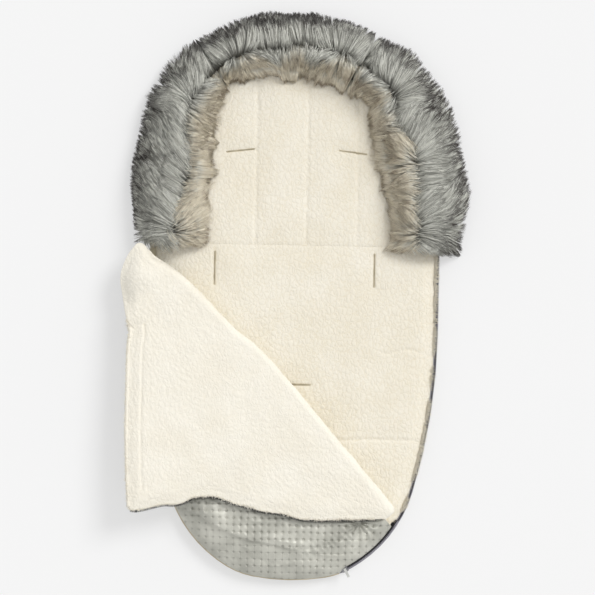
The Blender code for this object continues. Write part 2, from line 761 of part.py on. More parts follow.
def cover_heights(point, edge):
    """Height of the fixed cover's underside, and its thickness, at a plan point."""
    inset = edge_distance(point, edge)
    base = crown(inset) + ZIP_TAPE_THICKNESS + LAYER_GAP * 2.0
    roof = FOLD_Z - COVER_OFFSET + min(COVER_ROOF_RISE, COVER_ROOF_SLOPE * fold_distance(point))
    pocket = roof - COVER_THICKNESS - base
    under = base + pocket * smooth((inset - COVER_RISE_START) / COVER_RISE_WIDTH)
    full = smooth(inset / COVER_RIM_WIDTH)
    return under, COVER_RIM_THICKNESS + (COVER_THICKNESS - COVER_RIM_THICKNESS) * full


def sheet(rows, heights):
    """A closed sheet over rows of plan points, between two heights at each."""
    mesh = bmesh.new()
    under = []
    over = []
    for row in rows:
        pairs = [heights(point) for point in row]
        under.append([mesh.verts.new((*point, pair[0])) for point, pair in zip(row, pairs)])
        over.append([mesh.verts.new((*point, pair[1])) for point, pair in zip(row, pairs)])
    last_row = len(rows) - 1
    last = len(rows[0]) - 1
    for row in range(last_row):
        for column in range(last):
            for side in (under, over):
                mesh.faces.new((side[row][column], side[row][column + 1],
                                side[row + 1][column + 1], side[row + 1][column]))
        for column in (0, last):
            mesh.faces.new((under[row][column], under[row + 1][column],
                            over[row + 1][column], over[row][column]))
    for row in (0, last_row):
        for column in range(last):
            mesh.faces.new((under[row][column], under[row][column + 1],
                            over[row][column + 1], over[row][column]))
    return mesh


def build_foot_cover():
    """The part of the cover that stays over the foot end, sewn on along the left."""
    edge = [point for point, normal in whole_edge()]
    rows = cover_rows()
    for layer, low, high in COVER_LAYER_SHARES:
        lift = LAYER_GAP if low > 0.0 else 0.0

        def heights(point, low=low, high=high, lift=lift):
            under, thickness = cover_heights(point, edge)
            return under + thickness * low + lift, under + thickness * high

        add_object(f"foot_cover_{layer}", sheet(rows, heights), LAYER_FINISHES[layer])


def build_fold(axis):
    """The round fold between the fixed and the turned-back cover, and its bunched corner."""
    stations = [(FOLD_ROLL_START + FOLD_ROLL_END * share, radius) for share, radius in ROLL_END_SHARES]
    end = (SEAM_Y - FOLD_Y) / math.sin(FOLD_DIRECTION) - FOLD_ROLL_RADIUS
    stations += [(end - FOLD_ROLL_END * share, radius) for share, radius in reversed(ROLL_END_SHARES)]
    matrix = axis.matrix_world.copy()
    rings = []
    for along, share in stations:
        ring = []
        for step in range(ROUND_STEPS):
            angle = math.pi * 2.0 * (step + 0.5) / ROUND_STEPS
            radius = FOLD_ROLL_RADIUS * share
            ring.append(matrix @ Vector((along, radius * math.cos(angle), radius * math.sin(angle))))
        rings.append(ring)
    add_object("cover_fold_roll", loft(rings), "pile_lining")
    rings = []
    near = FOLD_ROLL_RADIUS * GUSSET_SEAT_SHARE + LAYER_GAP
    centre = Vector((FLAP_LENGTH + GUSSET_GAP + GUSSET_HALF_LENGTH, near + GUSSET_WIDTH / 2.0))
    for share, rise in GUSSET_SHARES:
        ring = []
        for step in range(GUSSET_STEPS):
            point = superellipse(math.pi * 2.0 * step / GUSSET_STEPS, GUSSET_POWER)
            plan = centre + Vector((point.x * GUSSET_HALF_LENGTH, point.y * GUSSET_WIDTH / 2.0)) * share
            ring.append(matrix @ Vector((*plan, COVER_OFFSET + GUSSET_HEIGHT * rise)))
        rings.append(ring)
    add_object("fold_gusset", loft(rings), "pile_lining")


def superellipse(angle, power):
    """Point of a unit superellipse."""
    unit = direction(angle)
    reach = (abs(unit.x) ** power + abs(unit.y) ** power) ** (-1.0 / power)
    return unit * reach


def flap_run(first, last):
    """Edge points of the turned-back cover in the fold's frame, with outward normals."""
    points = [Vector((FLAP_LENGTH * along, FLAP_WIDTH * across)) for along, across in FLAP_EDGE_SHARES]
    run = []
    for index, point in enumerate(points):
        before = points[max(0, index - 1)]
        after = points[min(len(points) - 1, index + 1)]
        tangent = (after - before).normalized()
        run.append((point, Vector((-tangent.y, tangent.x))))
    return run[first:last]


def flap_rows():
    """Plan points of the turned-back cover in the fold's frame, from the foot end."""
    start = FOLD_ROLL_RADIUS + LAYER_GAP
    rows = []
    for index, (point, normal) in enumerate(flap_run(0, len(FLAP_EDGE_SHARES))):
        setback = FLAP_ZIP_SETBACK if index < FLAP_ZIP_POINTS else HEM_BINDING_WIDTH + LAYER_GAP
        end = point - normal * setback
        rows.append([Vector((end.x, start + (end.y - start) * part)) for part in SHEET_COLUMN_SHARES])
    return rows


def build_flap(axis):
    """The part of the cover that is turned back over the foot end, pile side up."""
    rows = flap_rows()
    edges = {round(row[0].x, 7): row[-1].y for row in rows}
    middle = COVER_OFFSET + COVER_THICKNESS / 2.0
    for layer, low, high in COVER_LAYER_SHARES:
        lift = LAYER_GAP if high < 1.0 else 0.0

        def heights(point, low=low, high=high, lift=lift):
            inset = edges[round(point.x, 7)] - point.y
            half = FLAP_EDGE_HALF + (COVER_THICKNESS / 2.0 - FLAP_EDGE_HALF) * smooth(inset / FLAP_EDGE_WIDTH)
            return middle + half * (1.0 - 2.0 * high) + lift, middle + half * (1.0 - 2.0 * low)

        add_object(f"flap_{layer}", sheet(rows, heights), LAYER_FINISHES[layer], axis)
    zip_run = flap_run(0, FLAP_ZIP_POINTS)
    hem_run = flap_run(FLAP_ZIP_POINTS, len(FLAP_EDGE_SHARES))
    low = middle - FLAP_EDGE_HALF
    high = middle + FLAP_EDGE_HALF
    hem = ((0.0, low), (HEM_BINDING_WIDTH, low), (HEM_BINDING_WIDTH, high), (0.0, high))
    add_object("flap_hem_binding", sweep(hem_run, hem), "pile_lining", axis)
    near = ZIP_OVERHANG
    far = FLAP_ZIP_SETBACK - LAYER_GAP
    low = middle - ZIP_TAPE_THICKNESS - LAYER_GAP / 2.0
    high = middle - LAYER_GAP / 2.0
    add_object("zip_tape_flap", sweep(zip_run, ((near, low), (far, low), (far, high), (near, high))),
               "zip_tape", axis)
    low = high + LAYER_GAP
    high = low + ZIP_COIL_HEIGHT
    coil = ((0.0, low), (ZIP_COIL_WIDTH, low), (ZIP_COIL_WIDTH, high), (0.0, high))
    add_object("zip_coil_flap", sweep(zip_run[:-1], coil), "zip_tape", axis)
    point, normal = zip_run[-1]
    tangent = Vector((-normal.y, normal.x))
    rings = []
    for along in (0.0, ZIP_COIL_HEIGHT):
        base = point + tangent * along
        rings.append([Vector((*(base - normal * inset), height)) for inset, height in coil])
    add_object("zip_top_stop_flap", loft(rings), "zip_metal", axis)


def block(low, high):
    """A box between two corners."""
    corners = ((low[0], low[1]), (high[0], low[1]), (high[0], high[1]), (low[0], high[1]))
    return loft([[Vector((*corner, height)) for corner in corners] for height in (low[2], high[2])])


def add_tool(name, mesh, finish, parent):
    """An object that is only joined into another."""
    item = add_object(name, mesh, finish, parent)
    item.hide_render = True
    item.display_type = "WIRE"
    return item


def bar_ring(radius, along):
    """Round section of a bar that runs along Y."""
    ring = []
    for step in range(ROUND_STEPS):
        angle = math.pi * 2.0 * step / ROUND_STEPS
        ring.append(Vector((radius * math.cos(angle), along, radius * math.sin(angle))))
    return ring


def build_slider():
    """The zip slider, parked at the foot end, and its puller."""
    top = crown(ZIP_FOOT_INSET + ZIP_COIL_WIDTH) + ZIP_TAPE_THICKNESS + ZIP_COIL_HEIGHT + LAYER_GAP * 3.0
    centre = foot_centre()
    turn = Matrix.Rotation(ZIP_PARK_ANGLE, 4, "Z")
    travel = add_empty("zip_travel_axis", Matrix.Translation((centre.x, centre.y, top)) @ turn)
    middle = FOOT_RADIUS - SLIDER_CENTRE_INSET
    plate = []
    for height in (0.0, SLIDER_PLATE):
        plate.append([Vector((middle + SLIDER_WIDTH * across, SLIDER_LENGTH * along, height))
                      for across, along in SLIDER_SHARES])
    slider = add_object("zip_slider", loft(plate), "zip_metal", travel)
    near = FOOT_RADIUS - ZIP_FOOT_INSET + SLIDER_CLEARANCE
    far = FOOT_RADIUS - (ZIP_COIL_WIDTH - ZIP_OVERHANG) - SLIDER_CLEARANCE
    half = SLIDER_POST_LENGTH / 2.0
    low = crown(ZIP_FOOT_INSET) + ZIP_TAPE_THICKNESS + LAYER_GAP + SLIDER_CLEARANCE - top
    tools = [add_tool("slider_post", block((near, -half, low), (far, half, SLIDER_PLATE / 2.0)),
                      "zip_metal", travel)]
    bar = BRIDGE_BAR_RADIUS
    reach = BRIDGE_LENGTH / 2.0
    rise = SLIDER_PLATE + BRIDGE_HEIGHT
    for side in (-1.0, 1.0):
        inner, outer = sorted((side * (reach - bar * 2.0), side * reach))
        tools.append(add_tool("bridge_end_low" if side < 0.0 else "bridge_end_high",
                              block((middle - bar, inner, SLIDER_PLATE / 2.0),
                                    (middle + bar, outer, rise + bar)),
                              "zip_metal", travel))
    spindle = loft([[point + Vector((middle, 0.0, rise))
                     for point in bar_ring(bar, along)]
                    for along in (-reach + bar, reach - bar)])
    tools.append(add_tool("bridge_bar", spindle, "zip_metal", travel))
    for tool in tools:
        modifier = slider.modifiers.new(tool.name, "BOOLEAN")
        modifier.operation = "UNION"
        modifier.solver = "EXACT"
        modifier.object = tool
    pivot = travel.matrix_world @ Matrix.Translation((middle, 0.0, rise))
    swing = add_empty("zip_pull_axis", pivot, travel)
    add_object("zip_puller", puller_mesh(), "zip_metal", swing)


def puller_mesh():
    """A flat tab whose eye turns on the slider's bridge bar."""
    eye = BRIDGE_BAR_RADIUS + LAYER_GAP
    outer = eye + PULLER_WALL
    half = PULLER_THICKNESS / 2.0
    rings = []
    for side, radius in ((-1.0, outer), (1.0, outer), (1.0, eye), (-1.0, eye)):
        ring = bar_ring(radius, side * PULLER_WIDTH / 2.0)
        if radius == outer:
            ring[0] = Vector((PULLER_LENGTH, ring[0].y, 0.0))
            ring[1] = Vector((PULLER_LENGTH - half, ring[1].y, half))
            ring[-1] = Vector((PULLER_LENGTH - half, ring[-1].y, -half))
        rings.append(ring)
    return loft(rings, closed=True)


def main():
    """Build the footmuff."""
    clear_scene()
    build_back()
    build_fur()
    build_edge()
    build_foot_cover()
    axis = add_empty("cover_fold_axis", fold_matrix(FOLD_REST_TILT))
    bpy.context.view_layer.update()
    build_fold(axis)
    build_flap(axis)
    build_slider()


main()
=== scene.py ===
"""A stroller footmuff lying open on its back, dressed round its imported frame.

X points to the right, Y to the head end and Z up, in metres. The cover is
unzipped down the right side and turned back to the left, pile side up.
"""
import logging
import math
from dataclasses import dataclass
from enum import Enum

import bmesh
import bpy
import numpy as np
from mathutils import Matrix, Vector
from mathutils.kdtree import KDTree


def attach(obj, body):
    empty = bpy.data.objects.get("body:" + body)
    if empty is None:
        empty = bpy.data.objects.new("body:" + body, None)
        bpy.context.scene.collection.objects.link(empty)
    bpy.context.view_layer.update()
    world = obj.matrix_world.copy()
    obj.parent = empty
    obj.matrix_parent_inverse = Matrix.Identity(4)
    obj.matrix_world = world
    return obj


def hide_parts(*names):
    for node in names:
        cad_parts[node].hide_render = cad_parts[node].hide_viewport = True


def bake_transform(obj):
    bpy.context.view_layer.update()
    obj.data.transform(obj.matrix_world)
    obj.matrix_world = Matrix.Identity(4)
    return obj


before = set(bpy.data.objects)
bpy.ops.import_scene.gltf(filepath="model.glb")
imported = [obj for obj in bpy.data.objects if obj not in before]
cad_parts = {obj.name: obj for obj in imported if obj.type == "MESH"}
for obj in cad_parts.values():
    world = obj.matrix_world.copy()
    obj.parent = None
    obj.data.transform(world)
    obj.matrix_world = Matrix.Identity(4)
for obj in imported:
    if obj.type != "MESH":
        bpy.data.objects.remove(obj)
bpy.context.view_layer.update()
LOG = logging.getLogger("footmuff")
Array = np.ndarray
MM = 0.001
CLOTH_ATTRIBUTE = "cloth"
HAIR_ATTRIBUTE = "hair"
WHITE = (1.0, 1.0, 1.0, 1.0)
MIDDLE = (0.5, 0.5, 0.5)
# Pressed dots on the hidden side of the outer cloth: lattice and size in metres, depth in millimetres
QUILT_PITCH = 0.010
QUILT_DOT = 0.0022
QUILT_DEPTH = 0.9
# Strand of hair: sides and rings below its tip, and points in all
STRAND_SIDES = 3
STRAND_RINGS = 3
STRAND_POINTS = STRAND_SIDES * STRAND_RINGS + 1
# Tooth of the zip, half of whose height is 1: where its top starts, and the top's width
TOOTH_SHOULDER = 0.35
TOOTH_TOP_SHARE = 0.62


class Body(Enum):
    """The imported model's bodies that new pieces ride."""

    BACK = "root"
    FLAP = "cover_flap"


def colour(red: int, green: int, blue: int) -> tuple[float, float, float, float]:
    """Linear colour of a screen colour.

    Args:
        red: Red, 0 to 255.
        green: Green, 0 to 255.
        blue: Blue, 0 to 255.

    Returns:
        Linear red, green and blue, with full alpha.
    """
    shares = [value / 255.0 for value in (red, green, blue)]
    return (*[s / 12.92 if s <= 0.04045 else ((s + 0.055) / 1.055) ** 2.4 for s in shares], 1.0)


def smooth(value: Array) -> Array:
    """Smooth step from 0 to 1 of an array."""
    held = np.clip(value, 0.0, 1.0)
    return held * held * (3.0 - 2.0 * held)


def dome(value: Array) -> Array:
    """Quarter round from 0 to 1 of an array of shares."""
    return np.sqrt(np.clip(1.0 - (1.0 - np.clip(value, 0.0, 1.0)) ** 2, 0.0, 1.0))


def dip(distance: Array, width: float) -> Array:
    """Soft groove of a width about a line, 1 on the line."""
    return np.exp(-((distance / width) ** 2))


def groove(distance: Array, size: tuple) -> Array:
    """Depth of a soft groove about a line, from its width in metres and its depth in millimetres."""
    return dip(distance, size[0]) * size[1] * MM


def unit(vectors: Array) -> Array:
    """Rows of vectors, each at length 1."""
    return vectors / np.linalg.norm(vectors, axis=1)[:, None]


def path_lengths(points: Array) -> Array:
    """How far along a path each of its points lies."""
    return np.concatenate([[0.0], np.cumsum(np.linalg.norm(np.diff(points, axis=0), axis=1))])


def read_plan(place: Array | float, places: Array, vectors: Array) -> Array:
    """Plan vectors at places between those of a table."""
    return np.stack([np.interp(place, places, vectors[:, axis]) for axis in (0, 1)], axis=-1)


def with_height(plan: Array, height: Array) -> Array:
    """Points over a grid of plan points."""
    return np.concatenate([plan, height[..., None]], axis=-1)


def lattice_gap(plan: Array, pitch: float) -> Array:
    """How far plan points lie from the nearest lines of a square lattice, along each axis."""
    return np.abs(plan / pitch - np.round(plan / pitch)) * pitch


def quilt_dots(plan: Array) -> Array:
    """Height of the dots that are pressed into the hidden side of the outer cloth."""
    cell = lattice_gap(plan, QUILT_PITCH)
    return dip(np.hypot(cell[..., 0], cell[..., 1]), QUILT_DOT) * QUILT_DEPTH * MM


def pinch(low: Array, top: Array, level: float, share: Array) -> tuple[Array, Array]:
    """Draw the two faces of a layer together at its edge.

    Args:
        low: Heights of the lower face.
        top: Heights of the upper face.
        level: Where between the faces they meet, 0 to 1.
        share: How much of the thickness is left, 0 to 1.

    Returns:
        The heights of the lower and the upper face.
    """
    core = low + (top - low) * level
    return core + (low - core) * share, core + (top - core) * share


def line_distance(plan: Array, path: Array) -> Array:
    """Distance of plan points from an open path.

    Args:
        plan: Points, with the two coordinates last.
        path: Corners of the path, one row each.

    Returns:
        The distance of each point.
    """
    flat = plan.reshape(-1, 2)
    best = np.full(len(flat), np.inf)
    for first, second in zip(path[:-1], path[1:]):
        along = second - first
        share = np.clip((flat - first) @ along / (along @ along), 0.0, 1.0)
        gap = flat - first - share[:, None] * along
        best = np.minimum(best, np.hypot(gap[:, 0], gap[:, 1]))
    return best.reshape(plan.shape[:-1])


class Relief:
    """Repeatable noise over a plane, for curls, puffs and wrinkles."""

    def __init__(self, seed: int, size: int = 256) -> None:
        """Fill the table that every pattern is read from."""
        self.table = np.random.default_rng(seed).random((size, size, 2))
        self.size = size

    def waves(self, plan: Array, length: float, layer: int = 0) -> Array:
        """Soft noise from -1 to 1.

        Args:
            plan: Points, with the two coordinates last.
            length: Size of one wave.
            layer: Which of the two tables is read.

        Returns:
            The noise at each point.
        """
        grid = plan / length + 37.3
        base = np.floor(grid).astype(int)
        share = smooth(grid - base)
        low = base % self.size
        high = (base + 1) % self.size
        values = self.table[:, :, layer]
        across, along = share[..., 0], share[..., 1]
        near, far = (values[low[..., 0], row] * (1 - across) + values[high[..., 0], row] * across
                     for row in (low[..., 1], high[..., 1]))
        return (near * (1 - along) + far * along) * 2.0 - 1.0

    def puffs(self, plan: Array, sizes: tuple, rise: Array) -> Array:
        """Waves of each table on top of each other.

        Args:
            plan: Points, with the two coordinates last.
            sizes: Length in metres and height in millimetres of the waves of each table.
            rise: How far they stand out, 0 to 1.

        Returns:
            The height at each point.
        """
        return sum(self.waves(plan, length, layer) * height * MM * rise
                   for layer, (length, height) in enumerate(sizes))

    def curls(self, plan: Array, width: float, length: float) -> Array:
        """Rounded curls between narrow crevices, 0 in a crevice and 1 on a curl.

        Args:
            plan: Points, with the two coordinates last.
            width: Width of a curl along the first coordinate.
            length: Length of a curl along the second coordinate.

        Returns:
            The height share at each point.
        """
        bends = np.stack([self.waves(plan, length * 1.7, layer) for layer in (0, 1)], axis=-1)
        bent = plan + bends * width * 0.45
        grid = bent / np.array([width, length]) + 11.0
        base = np.floor(grid).astype(int)
        first = np.full(grid.shape[:-1], 9.0)
        second = first.copy()
        for across in (-1, 0, 1):
            for along in (-1, 0, 1):
                cell = base + np.array([across, along])
                spot = self.table[cell[..., 0] % self.size, cell[..., 1] % self.size]
                gap = np.linalg.norm(cell + spot - grid, axis=-1)
                second = np.minimum(second, np.maximum(first, gap))
                first = np.minimum(first, gap)
        return smooth((second - first) / 0.5)


class BackOutline:
    """Edge of the padded back, seen from above; it is the same on both sides of X = 0."""

    half_width = 0.2386
    side_radius = 0.961
    side_centre_y = -0.060
    foot_radius = 0.2155
    shoulder_radius = 0.130
    hood_centre_y = 0.150
    hood_rise = 0.276
    seam_y = 0.081
    turns = tuple(math.radians(turn) for turn in (-90.0, -80.0, -60.0, -16.0, 0.0))
    steps = 36

    def __init__(self) -> None:
        """Lay out the right half from the foot end to the head end."""
        side = np.array([self.half_width - self.side_radius, self.side_centre_y])
        self.foot_centre = side + self.direction(self.turns[3]) * (self.side_radius - self.foot_radius)
        inward = self.foot_radius - self.shoulder_radius
        shoulder = self.foot_centre + self.direction(self.turns[2]) * inward
        reach = shoulder[0] / math.cos(self.turns[1])
        bottom = shoulder - self.direction(self.turns[1]) * reach
        arcs = (
            (bottom, self.shoulder_radius + reach),
            (shoulder, self.shoulder_radius),
            (self.foot_centre, self.foot_radius),
            (side, self.side_radius),
        )
        points, normals = [], []
        for (centre, radius), start, end in zip(arcs, self.turns, self.turns[1:]):
            for turn in np.linspace(start, end, self.steps, endpoint=False):
                normals.append(self.direction(turn))
                points.append(centre + normals[-1] * radius)
        for turn in np.linspace(0.0, math.pi / 2.0, self.steps * 2):
            points.append(self.hood_point(turn))
            normal = np.array([math.cos(turn) / self.half_width, math.sin(turn) / self.hood_rise])
            normals.append(normal / np.linalg.norm(normal))
        self.points = np.array(points)
        self.normals = np.array(normals)

    @staticmethod
    def direction(angle: float) -> Array:
        """Unit vector of an angle in the plan."""
        return np.array([math.cos(angle), math.sin(angle)])

    def hood_point(self, angle: float) -> Array:
        """Point of the head section's edge at an angle."""
        along, up = self.direction(angle)
        return np.array([self.half_width * along, self.hood_centre_y + self.hood_rise * up])

    def inside(self, inset: Array | float) -> Array:
        """The right half, drawn in by an inset."""
        return self.points - self.normals * np.reshape(inset, (-1, 1))

    def project(self, plan: Array) -> tuple[Array, Array, Array]:
        """Nearest place on the edge.

        Args:
            plan: Points, with the two coordinates last.

        Returns:
            How far in each point lies, its nearest edge point, and the outward normal there.
        """
        flat = plan.reshape(-1, 2).copy()
        sign = np.where(flat[:, 0] < 0.0, -1.0, 1.0)
        flat[:, 0] = np.abs(flat[:, 0])
        starts, ends = self.points[:-1], self.points[1:]
        along = ends - starts
        squares = (along ** 2).sum(axis=1)
        inset, near, normal = np.empty(len(flat)), np.empty_like(flat), np.empty_like(flat)
        for low in range(0, len(flat), 4000):
            part = flat[low:low + 4000]
            share = np.clip(np.einsum("nsk,sk->ns", part[:, None] - starts[None], along) / squares, 0.0, 1.0)
            foot = starts[None] + share[..., None] * along[None]
            gap = np.linalg.norm(part[:, None] - foot, axis=-1)
            best = gap.argmin(axis=1)
            pick = np.arange(len(part))
            part_share = share[pick, best][:, None]
            turned = self.normals[best] * (1 - part_share) + self.normals[best + 1] * part_share
            turned = unit(turned)
            chosen = foot[pick, best]
            side = ((chosen - part) * turned).sum(axis=1)
            inset[low:low + 4000] = np.where(side >= 0.0, gap[pick, best], -gap[pick, best])
            near[low:low + 4000], normal[low:low + 4000] = chosen, turned
        near[:, 0] *= sign
        normal[:, 0] *= sign
        shape = plan.shape[:-1]
        return inset.reshape(shape), near.reshape(plan.shape), normal.reshape(plan.shape)

    def run(self, start_angle: float, end_y: float, pitch: float) -> tuple[Array, Array]:
        """Evenly spaced places along the right edge.

        Args:
            start_angle: Angle about the foot's centre where the run starts.
            end_y: Y at which it ends.
            pitch: Distance between places.

        Returns:
            The points and their outward normals.
        """
        gap = self.points - self.foot_centre
        angles = np.arctan2(gap[:, 1], gap[:, 0])
        lengths = path_lengths(self.points)
        keep = slice(0, len(lengths) - self.steps)
        start = np.interp(start_angle, angles[keep], lengths[keep])
        end = np.interp(end_y, self.points[:, 1], lengths)
        places = np.arange(start, end, pitch)
        points = read_plan(places, lengths, self.points)
        normals = read_plan(places, lengths, self.normals)
        return points, unit(normals)


def crown(inset: Array) -> Array:
    """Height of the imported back's upper surface at a distance in from its edge."""
    return (16.0 + 6.0 * np.clip(inset / 0.025, 0.0, 1.0)) * MM


class Graph:
    """A node tree that is filled step by step."""

    def __init__(self, tree: bpy.types.NodeTree) -> None:
        """Hold the tree."""
        self.tree = tree

    def node(self, kind: str, inputs: dict | None = None, **settings) -> bpy.types.Node:
        """Add a node.

        Args:
            kind: Node type.
            inputs: Socket name or number to a value, or to the output that feeds it.
            **settings: The node's own settings.

        Returns:
            The node.
        """
        made = self.tree.nodes.new(kind)
        for name, value in settings.items():
            setattr(made, name, value)
        for name, value in (inputs or {}).items():
            if isinstance(value, bpy.types.NodeSocket):
                self.tree.links.new(value, made.inputs[name])
            else:
                made.inputs[name].default_value = value
        return made

    def feed(self, output: bpy.types.NodeSocket, socket: bpy.types.NodeSocket) -> None:
        """Join an output to a socket."""
        self.tree.links.new(output, socket)

    def vector(self, operation: str, first, second) -> bpy.types.NodeSocket:
        """Output of a vector maths node, whose second value is a number when it scales."""
        inputs = {0: first, ("Scale" if operation == "SCALE" else 1): second}
        return self.node("ShaderNodeVectorMath", inputs, operation=operation).outputs[0]

    def attribute(self, name: str) -> bpy.types.NodeSocket:
        """Vector that is stored on the mesh under a name."""
        return self.node("ShaderNodeAttribute", attribute_name=name).outputs["Vector"]

    def math(self, operation: str, first, second=0.0) -> bpy.types.NodeSocket:
        """Output of a maths node."""
        return self.node("ShaderNodeMath", {0: first, 1: second}, operation=operation).outputs[0]

    def remap(self, value, low: float, high: float, to_low: float = 0.0,
              to_high: float = 1.0) -> bpy.types.NodeSocket:
        """Output of a smooth remap between two ranges."""
        inputs = {0: value, 1: low, 2: high, 3: to_low, 4: to_high}
        return self.node("ShaderNodeMapRange", inputs, interpolation_type="SMOOTHSTEP").outputs[0]

    def mix(self, factor, first, second) -> bpy.types.NodeSocket:
        """Output of a colour mix."""
        made = self.node("ShaderNodeMix", {0: factor, 6: first, 7: second}, data_type="RGBA")
        return made.outputs[2]

    def noise(self, vector, scale: float, detail: float = 3.0,
              roughness: float = 0.5) -> bpy.types.NodeSocket:
        """Output of a noise texture."""
        inputs = {"Vector": vector, "Scale": scale, "Detail": detail, "Roughness": roughness}
        return self.node("ShaderNodeTexNoise", inputs).outputs[0]


def shader_group(
    name: str, inputs: dict, outputs: tuple
) -> tuple[bpy.types.NodeTree, Graph, bpy.types.Node, bpy.types.Node]:
    """Start a shader node group with named sockets.

    Args:
        name: Name of the group.
        inputs: Input name to its kind and plain value.
        outputs: Names of the value outputs.

    Returns:
        The tree, its graph, its input node and its output node.
    """
    tree = bpy.data.node_groups.new(name, "ShaderNodeTree")
    for label, (kind, value) in inputs.items():
        socket = tree.interface.new_socket(label, in_out="INPUT", socket_type=kind)
        if value is not None:
            socket.default_value = value
    for label in outputs:
        tree.interface.new_socket(label, in_out="OUTPUT", socket_type="NodeSocketFloat")
    graph = Graph(tree)
    return tree, graph, graph.node("NodeGroupInput"), graph.node("NodeGroupOutput")


class Effects:
    """Shader effects that several finishes share, each built once."""

    def __init__(self) -> None:
        """Build the groups."""
        self.curl = self.build_curl()
        self.grain = self.build_grain()
        self.quilt = self.build_quilt()

    @staticmethod
    def build_curl() -> bpy.types.NodeTree:
        """Curled pile: rounded curls, fine crevices and loose fibres, and a mask of the crevices for painted
        shade.
        """
        sockets = {
            "Vector": ("NodeSocketVector", None),
            "Curl Size": ("NodeSocketFloat", 0.008),
            "Fibre Share": ("NodeSocketFloat", 0.35),
        }
        tree, graph, given, result = shader_group("curled_pile", sockets, ("Height", "Crevice Shade"))
        vector = given.outputs["Vector"]
        scale = graph.math("DIVIDE", 1.0, given.outputs["Curl Size"])
        bend = graph.node("ShaderNodeTexNoise", {"Vector": vector, "Scale": 110.0,
                                                 "Detail": 2.0}).outputs["Color"]
        centred = graph.vector("SUBTRACT", bend, MIDDLE)
        push = graph.vector("SCALE", centred, 0.012)
        bent = graph.vector("ADD", vector, push)
        stretched = graph.vector("MULTIPLY", bent, (1.25, 0.8, 1.0))
        edge = graph.node("ShaderNodeTexVoronoi", {"Vector": stretched, "Scale": scale, "Randomness": 0.95},
                          feature="DISTANCE_TO_EDGE").outputs["Distance"]
        curl = graph.remap(edge, 0.0, 0.28)
        fibres = graph.noise(vector, 1500.0, 4.0, 0.7)
        tufts = graph.noise(vector, 480.0, 3.0, 0.6)
        fine = graph.math("ADD", graph.math("MULTIPLY", fibres, 0.5), graph.math("MULTIPLY", tufts, 0.5))
        loose = graph.math("MULTIPLY", fine, given.outputs["Fibre Share"])
        graph.feed(graph.math("ADD", curl, loose), result.inputs["Height"])
        # Painted shade: mask of the crevices between curls, where shade falls, for darkening the base colour
        painted_crevice_shade = graph.math("MULTIPLY", graph.remap(edge, 0.11, 0.0), graph.remap(tufts, 0.35, 0.6))
        graph.feed(painted_crevice_shade, result.inputs["Crevice Shade"])
        return tree

    @staticmethod
    def build_grain() -> bpy.types.NodeTree:
        """Fine grain of threads or brushed metal."""
        sockets = {"Vector": ("NodeSocketVector", None), "Scale": ("NodeSocketFloat", 900.0)}
        tree, graph, given, result = shader_group("fine_grain", sockets, ("Height", "Tone"))
        scaled = graph.vector("SCALE", given.outputs["Vector"], given.outputs["Scale"])
        fine = graph.noise(scaled, 1.0, 4.0, 0.6)
        broad = graph.noise(scaled, 0.05, 3.0, 0.5)
        graph.feed(fine, result.inputs["Height"])
        graph.feed(broad, result.inputs["Tone"])
        return tree

    @staticmethod
    def build_quilt() -> bpy.types.NodeTree:
        """Quilted cloth: pressed dots on a square lattice, joined by shallow lines, and a fine weave; the
        dots' mask also carries painted shade.
        """
        sockets = {"Vector": ("NodeSocketVector", None), "Pitch": ("NodeSocketFloat", 0.010)}
        tree, graph, given, result = shader_group("quilted_dots", sockets, ("Height", "Dot"))
        inverse = graph.math("DIVIDE", 1.0, given.outputs["Pitch"])
        bend = graph.node("ShaderNodeTexNoise", {"Vector": given.outputs["Vector"], "Scale": 35.0,
                                                 "Detail": 2.0})
        centred = graph.vector("SUBTRACT", bend.outputs["Color"], MIDDLE)
        push = graph.vector("SCALE", centred, 0.004)
        bent = graph.vector("ADD", given.outputs["Vector"], push)
        scaled = graph.vector("SCALE", bent, inverse)
        parts = graph.node("ShaderNodeSeparateXYZ", {0: scaled})
        cells = []
        for axis in (0, 1):
            share = graph.math("FRACT", parts.outputs[axis])
            cells.append(graph.math("ABSOLUTE", graph.math("SUBTRACT", share, 0.5)))
        far = [graph.math("SUBTRACT", 0.5, cell) for cell in cells]
        reach = graph.math("SQRT", graph.math("ADD", graph.math("POWER", far[0], 2.0),
                                              graph.math("POWER", far[1], 2.0)))
        dot = graph.remap(reach, 0.24, 0.06)
        lines = graph.math("MAXIMUM", graph.remap(far[0], 0.10, 0.0), graph.remap(far[1], 0.07, 0.0))
        weave = graph.noise(given.outputs["Vector"], 2600.0, 2.0)
        pressed = graph.math("ADD", dot, graph.math("MULTIPLY", lines, 0.35))
        height = graph.math("SUBTRACT", graph.math("MULTIPLY", weave, 0.06), pressed)
        graph.feed(height, result.inputs["Height"])
        graph.feed(dot, result.inputs["Dot"])
        return tree


@dataclass(frozen=True)
class Finish:
    """What every finish has: a name, a main colour and how rough it is."""

    name: str
    main: tuple
    roughness: float = 0.9

    def start(self) -> tuple[bpy.types.Material, Graph, bpy.types.Node]:
        """Make the material with its shader.

        Returns:
            The material, its graph and its Principled node.
        """
        material = bpy.data.materials.new(self.name)
        material.use_nodes = True
        graph = Graph(material.node_tree)
        shader = material.node_tree.nodes["Principled BSDF"]
        shader.inputs["Base Color"].default_value = self.main
        shader.inputs["Roughness"].default_value = self.roughness
        return material, graph, shader

    def bump(self, graph: Graph, shader: bpy.types.Node, height, strength: float, distance: float) -> None:
        """Feed a height into the shader's normal."""
        made = graph.node("ShaderNodeBump", {"Height": height, "Strength": strength, "Distance": distance})
        graph.feed(made.outputs[0], shader.inputs["Normal"])


